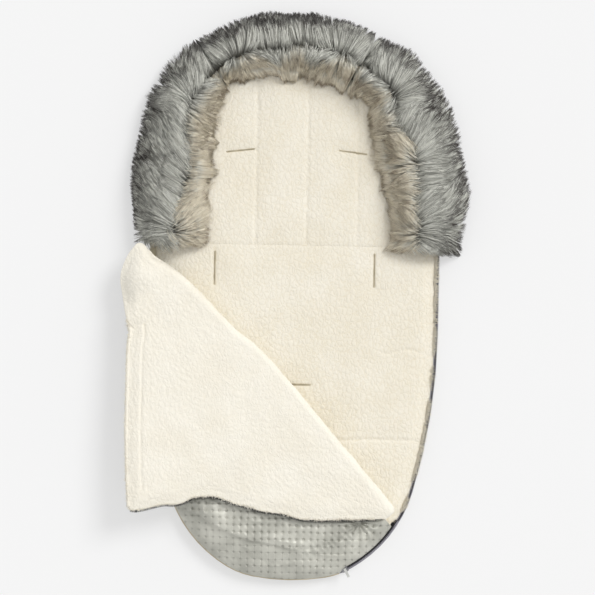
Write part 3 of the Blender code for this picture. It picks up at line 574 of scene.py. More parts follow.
@dataclass(frozen=True)
class PileFinish(Finish):
    """Curly cream pile, with painted shade in the crevices between curls."""

    shade: tuple = (0.5, 0.5, 0.5, 1.0)
    curl_size: float = 0.0085
    depth: float = 0.0016
    # How strongly painted shade darkens the crevices between curls
    crevice_shade_share: float = 0.6

    def material(self, effects: Effects) -> bpy.types.Material:
        """The pile's material."""
        material, graph, shader = self.start()
        vector = graph.attribute(CLOTH_ATTRIBUTE)
        curl = graph.node("ShaderNodeGroup", node_tree=effects.curl)
        graph.feed(vector, curl.inputs["Vector"])
        curl.inputs["Curl Size"].default_value = self.curl_size
        broad = graph.remap(graph.noise(vector, 14.0, 3.0), 0.3, 0.7, 0.0, 0.35)
        # Painted shade in the crevices between curls, plus a broad random tone
        factor = graph.math("ADD", graph.math("MULTIPLY", curl.outputs["Crevice Shade"], self.crevice_shade_share), broad)
        graph.feed(graph.mix(factor, self.main, self.shade), shader.inputs["Base Color"])
        shader.inputs["Sheen Weight"].default_value = 0.25
        shader.inputs["Sheen Roughness"].default_value = 0.6
        shader.inputs["Specular IOR Level"].default_value = 0.15
        self.bump(graph, shader, curl.outputs["Height"], 0.6, self.depth)
        return material


@dataclass(frozen=True)
class QuiltFinish(Finish):
    """Silver-grey quilted outer cloth with a satin face and painted shade in its pressed dots."""

    shade: tuple = (0.3, 0.3, 0.3, 1.0)
    pitch: float = 0.0115

    def material(self, effects: Effects) -> bpy.types.Material:
        """The outer cloth's material."""
        material, graph, shader = self.start()
        vector = graph.attribute(CLOTH_ATTRIBUTE)
        quilt = graph.node("ShaderNodeGroup", node_tree=effects.quilt)
        graph.feed(vector, quilt.inputs["Vector"])
        quilt.inputs["Pitch"].default_value = self.pitch
        broad = graph.remap(graph.noise(vector, 22.0, 4.0), 0.32, 0.68, 0.0, 0.55)
        # Painted shade: the pressed dots are darkened a little, on top of a broad random tone
        factor = graph.math("ADD", broad, graph.math("MULTIPLY", quilt.outputs["Dot"], 0.25))
        graph.feed(graph.mix(factor, self.main, self.shade), shader.inputs["Base Color"])
        creases = graph.noise(vector, 90.0, 5.0, 0.62)
        height = graph.math("ADD", quilt.outputs["Height"], graph.math("MULTIPLY", creases, 0.9))
        rough = graph.remap(creases, 0.3, 0.7, self.roughness - 0.06, self.roughness + 0.10)
        graph.feed(rough, shader.inputs["Roughness"])
        shader.inputs["Metallic"].default_value = 0.15
        self.bump(graph, shader, height, 0.75, 0.0012)
        return material


@dataclass(frozen=True)
class FurFinish(Finish):
    """Long pile with a dark root, partly its own colour and partly painted shade under the hair, a silver
    middle and dark tips at the outer edge.
    """

    # Root colour: partly the fur's own colour, partly painted shade under the hair
    root: tuple = (0.05, 0.05, 0.05, 1.0)
    tip: tuple = (0.02, 0.02, 0.02, 1.0)
    inner: tuple = (0.6, 0.55, 0.45, 1.0)
    inner_tip: tuple = (0.2, 0.12, 0.07, 1.0)
    inner_root: tuple = (0.5, 0.45, 0.36, 1.0)

    def material(self, effects: Effects) -> bpy.types.Material:
        """The fur's material."""
        material, graph, shader = self.start()
        hair = graph.attribute(HAIR_ATTRIBUTE)
        parts = graph.node("ShaderNodeSeparateXYZ", {0: hair})
        along, shade, zone = parts.outputs[0], parts.outputs[1], parts.outputs[2]
        inward = graph.remap(zone, 0.20, 0.06)
        warm = graph.math("MULTIPLY", inward, graph.remap(along, 0.25, 0.60))
        silver = graph.mix(warm, self.main, self.inner)
        dark = graph.mix(inward, self.tip, self.inner_tip)
        # Darker towards the root: partly the fur's own colour, partly painted shade under the hair
        from_root = graph.remap(along, 0.0, 0.40)
        root = graph.mix(inward, self.root, self.inner_root)
        body = graph.mix(from_root, root, silver)
        start = graph.math("ADD", 0.44, graph.math("MULTIPLY", shade, 0.46))
        tipped = graph.math("SUBTRACT", along, start)
        place = graph.node("ShaderNodeTexCoord").outputs["Object"]
        patches = graph.remap(graph.noise(place, 46.0, 2.0), 0.47, 0.62, 0.10, 0.90)
        outward = graph.math("MAXIMUM", graph.remap(zone, 0.74, 0.94),
                             graph.math("MULTIPLY", inward, patches))
        amount = graph.math("MULTIPLY", graph.remap(tipped, 0.0, 0.22),
                            graph.math("MAXIMUM", outward, 0.22))
        toned = graph.mix(amount, body, dark)
        dimmed = graph.mix(graph.remap(shade, 0.0, 0.75, 0.72, 0.0), toned, root)
        graph.feed(dimmed, shader.inputs["Base Color"])
        rough = graph.remap(along, 0.0, 1.0, self.roughness + 0.1, self.roughness)
        graph.feed(rough, shader.inputs["Roughness"])
        shader.inputs["Specular IOR Level"].default_value = 0.35
        return material


@dataclass(frozen=True)
class GrainFinish(Finish):
    """Plain thread, tape or metal with a fine grain."""

    shade: tuple = (0.3, 0.3, 0.3, 1.0)
    metallic: float = 0.0
    grain: float = 900.0
    depth: float = 0.0002
    on_cloth: bool = False

    def material(self, effects: Effects) -> bpy.types.Material:
        """The material, on cloth or object coordinates."""
        material, graph, shader = self.start()
        if self.on_cloth:
            vector = graph.attribute(CLOTH_ATTRIBUTE)
        else:
            vector = graph.node("ShaderNodeTexCoord").outputs["Object"]
        grain = graph.node("ShaderNodeGroup", node_tree=effects.grain)
        graph.feed(vector, grain.inputs["Vector"])
        grain.inputs["Scale"].default_value = self.grain
        tone = graph.remap(grain.outputs["Tone"], 0.3, 0.7)
        graph.feed(graph.mix(tone, self.main, self.shade), shader.inputs["Base Color"])
        shader.inputs["Metallic"].default_value = self.metallic
        rough = graph.remap(grain.outputs["Height"], 0.2, 0.8, self.roughness - 0.08, self.roughness + 0.08)
        graph.feed(rough, shader.inputs["Roughness"])
        self.bump(graph, shader, grain.outputs["Height"], 0.5, self.depth)
        return material


class Wardrobe:
    """Every finish of the footmuff, made once."""

    def __init__(self) -> None:
        """Make the materials."""
        effects = Effects()
        finishes = (
            PileFinish("back_pile", colour(248, 242, 227), 0.95, shade=colour(235, 225, 201), depth=0.0007),
            PileFinish("cover_pile", colour(251, 246, 233), 0.95, shade=colour(240, 232, 213),
                       crevice_shade_share=0.35, curl_size=0.0075, depth=0.0007),
            QuiltFinish("outer_cloth", colour(214, 213, 202), 0.42, shade=colour(146, 146, 136)),
            FurFinish("fur_pile", colour(232, 232, 223), 0.55, root=colour(100, 99, 91),
                      tip=colour(54, 40, 40), inner=colour(244, 236, 216),
                      inner_tip=colour(136, 108, 82), inner_root=colour(206, 197, 178)),
            GrainFinish("slot_tape", colour(222, 212, 188), 0.85, shade=colour(196, 184, 156)),
            GrainFinish("zip_tape", colour(34, 34, 36), 0.75, shade=colour(20, 20, 22)),
            GrainFinish("zip_coil", colour(38, 38, 41), 0.55, shade=colour(22, 22, 24)),
            GrainFinish("edge_tape", colour(172, 170, 177), 0.6, shade=colour(146, 144, 152)),
            GrainFinish("tab_cord", colour(214, 214, 210), 0.7, shade=colour(188, 188, 184)),
            GrainFinish("zip_metal", colour(190, 190, 192), 0.28, shade=colour(150, 150, 152), metallic=1.0,
                        grain=1600.0, depth=0.00005),
            GrainFinish("sewing_thread", colour(226, 217, 194), 0.8, shade=colour(204, 193, 168)),
        )
        self.materials = {finish.name: finish.material(effects) for finish in finishes}

    def dress(self, piece: bpy.types.Object, finish: str, slot: str) -> None:
        """Give a piece its material.

        Args:
            piece: The piece.
            finish: Name of the finish.
            slot: Not used.
        """
        piece.data.materials.clear()
        piece.data.materials.append(self.materials[finish])


    def finish(self, piece: bpy.types.Object, finish: str, slot: str, body: Body | None, nodes: tuple = (),
               fill: float | None = None) -> None:
        """Dress a piece, seat it on its body and hide the nodes that it replaces.

        Args:
            piece: The piece.
            finish: Name of the finish.
            slot: Not used.
            body: Body that it rides, or None to leave it unattached.
            nodes: Nodes that it replaces.
            fill: Not used.
        """
        self.dress(piece, finish, slot)
        if body is not None:
            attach(piece, body.value)
        if nodes:
            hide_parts(*nodes)


def add_piece(name: str, points: Array, faces: list) -> bpy.types.Object:
    """A smooth mesh object at the origin, its faces pointing outwards.

    Args:
        name: Name of the piece.
        points: Its points, one row each.
        faces: Corner numbers of each face.

    Returns:
        The object.
    """
    data = bpy.data.meshes.new(name)
    data.from_pydata(points.tolist(), [], faces)
    mesh = bmesh.new()
    mesh.from_mesh(data)
    bmesh.ops.recalc_face_normals(mesh, faces=mesh.faces)
    mesh.to_mesh(data)
    mesh.free()
    data.shade_smooth()
    data.set_sharp_from_angle(angle=math.radians(60.0))
    piece = bpy.data.objects.new(name, data)
    bpy.context.scene.collection.objects.link(piece)
    LOG.info("%s: %d faces", name, len(data.polygons))
    return piece


def set_vectors(piece: bpy.types.Object, name: str, vectors: Array) -> None:
    """Store one vector for each point of a piece."""
    attribute = piece.data.attributes.get(name) or piece.data.attributes.new(name, "FLOAT_VECTOR", "POINT")
    attribute.data.foreach_set("vector", np.ascontiguousarray(vectors, dtype=np.float32).ravel())


def lay_cloth(piece: bpy.types.Object, flat: Array) -> None:
    """Store the places on the flat cloth for both faces of a sheet."""
    pattern = with_height(flat, np.zeros(flat.shape[:-1])).reshape(-1, 3)
    set_vectors(piece, CLOTH_ATTRIBUTE, np.concatenate([pattern, pattern]))


def make_active(piece: bpy.types.Object) -> None:
    """Make a piece the only one selected, for an operator."""
    bpy.ops.object.select_all(action="DESELECT")
    bpy.context.view_layer.objects.active = piece
    piece.select_set(True)


def own_points(piece: bpy.types.Object) -> Array:
    """The points of a piece's mesh."""
    values = np.empty(len(piece.data.vertices) * 3, np.float32)
    piece.data.vertices.foreach_get("co", values)
    return values.reshape(-1, 3).astype(float)


def grid_faces(rows: int, columns: int, start: int = 0) -> list:
    """Corner numbers of the quads of a grid of points."""
    corner = np.arange(rows * columns).reshape(rows, columns) + start
    quads = np.stack([corner[:-1, :-1], corner[:-1, 1:], corner[1:, 1:], corner[1:, :-1]], axis=-1)
    return quads.reshape(-1, 4).tolist()


def rim(rows: int, columns: int) -> Array:
    """Corner numbers round the border of a grid of points."""
    corner = np.arange(rows * columns).reshape(rows, columns)
    return np.concatenate([corner[0, :], corner[1:, -1], corner[-1, -2::-1], corner[-2:0:-1, 0]])


def band_faces(lower: Array, upper: Array) -> list:
    """Quads between two closed loops of corner numbers."""
    quads = np.stack([lower, np.roll(lower, -1), np.roll(upper, -1), upper], axis=-1)
    return quads.tolist()


def thick_sheet(name: str, over: Array, under: Array) -> bpy.types.Object:
    """A closed sheet between two grids of points.

    Args:
        name: Name of the piece.
        over: Points of one face, in rows and columns.
        under: Points of the other face.

    Returns:
        The piece.
    """
    rows, columns = over.shape[:2]
    count = rows * columns
    border = rim(rows, columns)
    faces = grid_faces(rows, columns) + grid_faces(rows, columns, count) + band_faces(border, border + count)
    points = np.concatenate([over.reshape(-1, 3), under.reshape(-1, 3)])
    return add_piece(name, points, faces)


def capped_sheet(name: str, over: Array, rings: list) -> bpy.types.Object:
    """A closed piece: a grid of points, rings down from its border, and a flat cap.

    Args:
        name: Name of the piece.
        over: Points of the shaped face, in rows and columns.
        rings: Rings of points below the border, in the border's order.

    Returns:
        The piece.
    """
    rows, columns = over.shape[:2]
    faces = grid_faces(rows, columns)
    loop = rim(rows, columns)
    points = [over.reshape(-1, 3)]
    start = rows * columns
    for ring in rings:
        following = np.arange(start, start + len(loop))
        faces += band_faces(loop, following)
        points.append(ring)
        loop = following
        start += len(loop)
    faces.append(loop.tolist())
    return add_piece(name, np.concatenate(points), faces)


def lofted(name: str, rings: list, closed: bool = False) -> bpy.types.Object:
    """A closed piece through rings of as many points each, capped or joined end to end."""
    count = len(rings[0])
    faces = []
    for index in range(len(rings) - (0 if closed else 1)):
        lower = np.arange(count) + index * count
        upper = np.arange(count) + (index + 1) % len(rings) * count
        faces += band_faces(lower, upper)
    if not closed:
        faces += [list(range(count)), list(range(count * (len(rings) - 1), count * len(rings)))]
    return add_piece(name, np.concatenate(rings), faces)


@dataclass(frozen=True)
class Filling:
    """Air that rounds out a padded piece, worked out with Blender's cloth on a coarse copy."""

    voxel: float = 0.005
    pressure: float = 4.0
    frames: int = 20
    cap: float = 0.005
    neighbours: int = 4
    near_share: float = 0.2
    least_hold: float = 0.001

    def swell(self, piece: bpy.types.Object, hold: Array) -> None:
        """Move a piece's points as far as its filling pushes them.

        Args:
            piece: The piece, in its final shape but for the filling.
            hold: How far each point may follow the filling, 0 to 1.
        """
        scene = bpy.context.scene
        coarse = bpy.data.objects.new(f"{piece.name}_filling", piece.data.copy())
        scene.collection.objects.link(coarse)
        make_active(coarse)
        coarse.data.remesh_voxel_size = self.voxel
        bpy.ops.object.voxel_remesh()
        rest = own_points(coarse)
        cloth = coarse.modifiers.new("filling", "CLOTH")
        cloth.settings.use_pressure = True
        cloth.settings.uniform_pressure_force = self.pressure
        cloth.settings.effector_weights.gravity = 0.0
        cloth.point_cache.frame_start = 1
        cloth.point_cache.frame_end = self.frames
        for number in range(1, self.frames + 1):
            scene.frame_set(number)
        bpy.ops.object.modifier_apply(modifier=cloth.name)
        scene.frame_set(1)
        move = own_points(coarse) - rest
        length = np.linalg.norm(move, axis=1, keepdims=True)
        move *= np.minimum(1.0, self.cap / np.maximum(length, 1e-9))
        tree = KDTree(len(rest))
        for index, point in enumerate(rest):
            tree.insert(point, index)
        tree.balance()
        points = own_points(piece)
        for index in np.flatnonzero(hold > self.least_hold):
            near = tree.find_n(points[index], self.neighbours)
            weights = np.array([1.0 / (distance + self.voxel * self.near_share) for _, _, distance in near])
            moves = move[[number for _, number, _ in near]]
            points[index] += hold[index] * (moves * weights[:, None]).sum(axis=0) / weights.sum()
        piece.data.vertices.foreach_set("co", np.ascontiguousarray(points, dtype=np.float32).ravel())
        piece.data.update()
        LOG.info("%s: filled, %.1f mm at most", piece.name, float(length.max()) / MM)
        bpy.data.objects.remove(coarse, do_unlink=True)


@dataclass
class StudioView:
    """Camera over the photograph's place, pale floor and soft light."""

    centre: tuple = (0.00589, -0.00566)
    turn: float = math.atan2(0.01923, 0.99982)
    distance: float = 3.0
    focus_height: float = 0.030
    width: float = 0.98175
    sensor: float = 36.0
    floor_size: float = 8.0
    floor_drop: float = 0.0004
    floor_tones: tuple = ((0.925, 0.925, 0.925, 1.0), (0.91, 0.91, 0.912, 1.0))
    floor_patch: float = 1.2
    bounce_tone: tuple = (0.46, 0.46, 0.46, 1.0)
    floor_glow: float = 0.47
    world_strength: float = 0.625
    lamps: tuple = (
        ("key_lamp", (-30.0, 40.0, 0.0), 1.56, 24.0),
        ("fill_lamp", (24.0, -42.0, 0.0), 0.10, 70.0),
    )

    def build(self) -> None:
        """Add the camera, the floor, the world and the lamps."""
        camera = bpy.data.objects.new("camera", bpy.data.cameras.new("camera"))
        bpy.context.scene.collection.objects.link(camera)
        camera.data.sensor_width = self.sensor
        camera.data.lens = self.sensor * self.distance / self.width
        camera.location = (*self.centre, self.focus_height + self.distance)
        camera.rotation_euler = (0.0, 0.0, self.turn)
        bpy.context.scene.camera = camera
        bpy.ops.object.select_all(action="DESELECT")
        bpy.ops.mesh.primitive_plane_add(size=self.floor_size, location=(0.0, 0.0, -self.floor_drop))
        floor = bpy.context.object
        floor.name = "studio_floor"
        material = bpy.data.materials.new("studio_floor")
        material.use_nodes = True
        graph = Graph(material.node_tree)
        shader = material.node_tree.nodes["Principled BSDF"]
        vector = graph.node("ShaderNodeTexCoord").outputs["Object"]
        tone = graph.remap(graph.noise(vector, self.floor_patch, 1.0), 0.3, 0.7)
        path = graph.node("ShaderNodeLightPath")
        seen = path.outputs["Is Camera Ray"]
        for name in ("Is Glossy Ray", "Is Transmission Ray"):
            seen = graph.math("MAXIMUM", seen, path.outputs[name])
        plain = graph.mix(tone, *self.floor_tones)
        graph.feed(graph.mix(seen, plain, self.bounce_tone), shader.inputs["Base Color"])
        shader.inputs["Emission Color"].default_value = WHITE
        graph.feed(graph.math("MULTIPLY", seen, self.floor_glow), shader.inputs["Emission Strength"])
        shader.inputs["Roughness"].default_value = 1.0
        shader.inputs["Specular IOR Level"].default_value = 0.0
        floor.data.materials.append(material)
        world = bpy.data.worlds.new("studio")
        bpy.context.scene.world = world
        world.use_nodes = True
        back = world.node_tree.nodes["Background"]
        back.inputs["Color"].default_value = WHITE
        back.inputs["Strength"].default_value = self.world_strength
        for lamp in self.lamps:
            self.lamp(*lamp)
        bpy.context.scene.view_settings.view_transform = "Standard"

    @staticmethod
    def lamp(name: str, turn: tuple, strength: float, softness: float) -> None:
        """Add a soft distant lamp.

        Args:
            name: Name of the lamp.
            turn: Turns about X, Y and Z in degrees.
            strength: Strength of the lamp.
            softness: Angle of the lamp's disc in degrees.
        """
        data = bpy.data.lights.new(name, "SUN")
        data.energy = strength
        data.angle = math.radians(softness)
        lamp = bpy.data.objects.new(name, data)
        lamp.rotation_euler = [math.radians(value) for value in turn]
        bpy.context.scene.collection.objects.link(lamp)


@dataclass
class PaddedBack:
    """The padded seat and head section: pile inside, quilted cloth outside, and bound harness slots."""

    outline: BackOutline
    relief: Relief
    wardrobe: Wardrobe
    spacing: float = 0.0020
    shell_spacing: float = 0.0026
    gap: float = 0.00008
    pile_edge_inset: float = 0.0003
    slot_hole: float = 0.0031
    slot_open: float = 0.0005
    curl_height: float = 0.00045
    curl_width: float = 0.0070
    curl_length: float = 0.0105
    channel_places: tuple = (-0.066, 0.018, 0.102)
    seat_channel_y: float = -0.239
    puffs: tuple = ((0.070, 0.9), (0.028, 0.4))
    channel_groove: tuple = (0.0034, 1.3)
    seat_groove: tuple = (0.0026, 1.7)
    crease_groove: tuple = (0.0022, 1.4)
    slot_groove: tuple = (0.0045, 1.1)
    crease_y: float = -0.092
    crease_ends: tuple = (0.135, 0.222)
    border_steps: tuple = (0.00012, 0.0004, 0.0009, 0.0017, 0.0028, 0.0041)
    side_shares: tuple = (0.0, 0.0016, 0.0042, 0.0080)
    cutter_heights: tuple = (-0.02, 0.05)
    cutter_margin: float = 0.003
    round_steps: int = 8
    channel_hold: float = 0.020
    pile_voxel: float = 0.006
    pile_cap: float = 0.0013
    pile_profile: tuple = ((0.0, 0.0146), (0.0, 0.0135), (0.0046, 0.0134), (0.0050, 0.0088), (0.0130, 0.0037))
    shell_profile: tuple = (
        (0.0005, 0.0054), (0.0, 0.0080), (0.0, 0.0128), (0.0008, 0.0131), (0.0036, 0.0130),
        (0.0044, 0.0080), (0.0125, 0.0034),
    )
    shell_inset: float = 0.0015
    shell_lift: tuple = (0.009, 8.0)
    slots: tuple = (
        ("slot_edge_shoulder_left", "slot_binding_shoulder_left", (-0.093, 0.236), 7.0, 0.045),
        ("slot_edge_shoulder_right", "slot_binding_shoulder_right", (0.093, 0.236), -7.0, 0.045),
        ("slot_edge_waist_left", "slot_binding_waist_left", (-0.132, 0.041), 90.0, 0.054),
        ("slot_edge_waist_right", "slot_binding_waist_right", (0.132, 0.041), 90.0, 0.054),
        ("slot_edge_crotch", "slot_binding_crotch", (0.0, -0.150), 0.0, 0.059),
    )
    hood_slots: int = 2
    cover_line: tuple = ((0.1738, -0.3680), (0.758134, 0.652098))

    def build(self) -> None:
        """Build both sections and their slots."""
        cutters = self.cutters()
        for hood in (False, True):
            part = "hood" if hood else "seat"
            node = "hood" if hood else "back"
            mine = cutters[:self.hood_slots] if hood else cutters[self.hood_slots:]
            pile = self.pile(f"{part}_pile", hood)
            shell = self.shell(f"{part}_outer_cloth", hood)
            for piece in (pile, shell):
                self.cut(piece, mine)
                set_vectors(piece, CLOTH_ATTRIBUTE, own_points(piece))
            nodes = (f"{node}_lining", f"{node}_wadding")
            self.wardrobe.finish(pile, "back_pile", "pile_lining", Body.BACK, nodes, 0.5)
            self.wardrobe.finish(shell, "outer_cloth", "outer_shell", Body.BACK, (f"{node}_shell",), 0.2)
        for cutter in cutters:
            bpy.data.objects.remove(cutter, do_unlink=True)
        for name, node, place, turn, length in self.slots:
            self.slot_edge(name, node, place, turn, length)

    def plan(self, hood: bool, inset: float, spacing: float) -> Array:
        """Plan points of one section in rows from its curved end or seam.

        Args:
            hood: Whether it is the head section.
            inset: How far the border is drawn in.
            spacing: Distance between points.

        Returns:
            The points, in rows and columns.
        """
        edge = self.outline.inside(inset)
        ends = np.array(self.border_steps)
        if hood:
            low, high = self.outline.seam_y + self.gap, edge[-1, 1]
            ys = np.concatenate([np.arange(low, high - 0.0055, spacing), (high - ends)[::-1]])
        else:
            low, high = edge[0, 1], self.outline.seam_y - self.gap
            middle = np.arange(low + 0.0055, high - spacing * 0.5, spacing)
            ys = np.concatenate([low + ends, middle, [high]])
        reach = np.interp(ys, edge[:, 1], edge[:, 0])
        count = int(self.outline.half_width / spacing)
        half = np.concatenate([1.0 - np.array(self.side_shares), np.linspace(1.0 - 0.0130, 0.0, count)])
        shares = np.concatenate([-half, half[-2::-1]])
        return np.stack([reach[:, None] * shares, np.broadcast_to(ys[:, None], (len(ys), len(shares)))],
                        axis=-1)

    def slot_line(self, place: tuple, turn: float, length: float) -> Array:
        """The two ends of a slot's middle line."""
        along = self.outline.direction(math.radians(turn)) * length / 2.0
        return np.array([np.array(place) - along, np.array(place) + along])

    def pile_height(self, plan: Array, hood: bool) -> Array:
        """Height of the pile's upper surface at plan points."""
        inset = self.outline.project(plan)[0]
        rise = smooth((inset - 0.005) / 0.020)
        height = crown(inset) - (1.0 - dome(inset / 0.004)) * 1.1 * MM
        height += self.relief.puffs(plan, self.puffs, rise)
        seam = np.abs(plan[..., 1] - self.outline.seam_y)
        height -= (dip(seam, 0.0030) * 0.9 + dip(seam, 0.014) * 0.7) * MM * rise
        if hood:
            for place in self.channel_places:
                height -= groove(plan[..., 0] - place, self.channel_groove) * rise
        else:
            wobble = self.relief.waves(plan[..., :1].repeat(2, -1), 0.05) * 0.0012
            line = plan[..., 1] - self.seat_channel_y - wobble
            height -= groove(line, self.seat_groove) * rise
            near, far = self.crease_ends
            wavy = plan[..., 1] - self.crease_y + 0.0035 * np.sin(plan[..., 0] / 0.011)
            part = smooth((plan[..., 0] - near) / 0.02) * smooth((far - plan[..., 0]) / 0.01)
            height -= groove(wavy, self.crease_groove) * part
        for _, _, place, turn, length in self.slots:
            gap = line_distance(plan, self.slot_line(place, turn, length))
            height -= groove(gap, self.slot_groove)
        curls = self.relief.curls(plan, self.curl_width, self.curl_length)
        return height + (curls - 0.75) * self.curl_height * smooth(inset / 0.006)

    def rings(self, over: Array, profile: tuple) -> list:
        """Rings below a section's border, drawn in from its edge but straight at the seam.

        Args:
            over: The shaped face, in rows and columns.
            profile: The inset and height of each ring.

        Returns:
            The rings.
        """
        border = over.reshape(-1, 3)[rim(*over.shape[:2])]
        near, normal = self.outline.project(border[:, :2])[1:]
        at_seam = np.abs(border[:, 1] - self.outline.seam_y) < self.gap * 1.5
        rings = []
        for inset, height in profile:
            plan = near - normal * inset
            reach = self.outline.half_width - inset
            straight = np.stack([np.clip(border[:, 0], -reach, reach), border[:, 1]], axis=1)
            plan = np.where(at_seam[:, None], straight, plan)
            rings.append(np.column_stack([plan, np.full(len(plan), height)]))
        return rings

    def pile(self, name: str, hood: bool) -> bpy.types.Object:
        """The pile lining with its filling."""
        plan = self.plan(hood, self.pile_edge_inset, self.spacing)
        over = with_height(plan, self.pile_height(plan, hood))
        piece = capped_sheet(name, over, self.rings(over, self.pile_profile))
        hold = np.zeros(len(piece.data.vertices))
        hold[:over.shape[0] * over.shape[1]] = self.freedom(plan, hood).reshape(-1)
        Filling(voxel=self.pile_voxel, cap=self.pile_cap).swell(piece, hold)
        return piece

    def freedom(self, plan: Array, hood: bool) -> Array:
        """How far the filling may push the pile out: not at seams and slots, nor under the cover."""
        share = smooth((self.outline.project(plan)[0] - 0.012) / 0.03)
        share = share * smooth((np.abs(plan[..., 1] - self.outline.seam_y) - 0.004) / 0.03)
        if hood:
            for place in self.channel_places:
                share = share * (1.0 - dip(plan[..., 0] - place, self.channel_hold))
        else:
            share = share * (1.0 - dip(plan[..., 1] - self.seat_channel_y, self.channel_hold))
            gap = plan - np.array(self.cover_line[0])
            share = share * smooth((gap @ np.array(self.cover_line[1]) - 0.020) / 0.03)
        for _, _, place, turn, length in self.slots:
            share = share * smooth((line_distance(plan, self.slot_line(place, turn, length)) - 0.006) / 0.02)
        return share

    def shell(self, name: str, hood: bool) -> bpy.types.Object:
        """The quilted cloth underneath, turned up round the edge."""
        plan = self.plan(hood, self.shell_inset, self.shell_spacing)
        inset = self.outline.project(plan)[0]
        width, rise = self.shell_lift
        lift = rise * MM * (1.0 - dome(inset / width))
        over = with_height(plan, lift + quilt_dots(plan))
        return capped_sheet(name, over, self.rings(over, self.shell_profile))

    def stadium(self, place: tuple, turn: float, width: float, length: float, height: float) -> Array:
        """Outline of a slot with round ends."""
        radius = width / 2.0
        reach = (length / 2.0 - radius) * self.outline.direction(math.radians(turn))
        points = []
        for side, start in ((1.0, 0.0), (-1.0, math.pi)):
            for step in range(self.round_steps + 1):
                angle = math.pi * (step / self.round_steps - 0.5) + math.radians(turn) + start
                spot = np.array(place) + reach * side + self.outline.direction(angle) * radius
                points.append([*spot, height])
        return np.array(points)

    def cutters(self) -> list:
        """One upright cutter for each slot."""
        made = []
        for name, _, place, turn, length in self.slots:
            size = (self.slot_hole, length + self.cutter_margin)
            rings = [self.stadium(place, turn, *size, height) for height in self.cutter_heights]
            made.append(lofted(f"{name}_cutter", rings))
        return made

    def cut(self, piece: bpy.types.Object, cutters: list) -> None:
        """Cut the slots through a piece."""
        for cutter in cutters:
            modifier = piece.modifiers.new("slot", "BOOLEAN")
            modifier.operation = "DIFFERENCE"
            modifier.solver = "EXACT"
            modifier.object = cutter
        make_active(piece)
        for modifier in list(piece.modifiers):
            bpy.ops.object.modifier_apply(modifier=modifier.name)
        piece.data.shade_smooth()

    def slot_edge(self, name: str, node: str, place: tuple, turn: float, length: float) -> None:
        """The folded tape round one slot, its lips nearly closed."""
        sections = ((self.slot_hole - 0.0003, 0.0006), (self.slot_hole - 0.0003, 0.0195),
                    (self.slot_hole + 0.0007, 0.0204), (self.slot_hole, 0.0210),
                    (self.slot_open + 0.0008, 0.0210), (self.slot_open, 0.0203), (self.slot_open, 0.0006))
        rings = [self.stadium(place, turn, width, length + width - self.slot_open, height)
                 for width, height in sections]
        piece = lofted(name, rings, closed=True)
        self.wardrobe.finish(piece, "slot_tape", "slot_binding", Body.BACK, (node,))


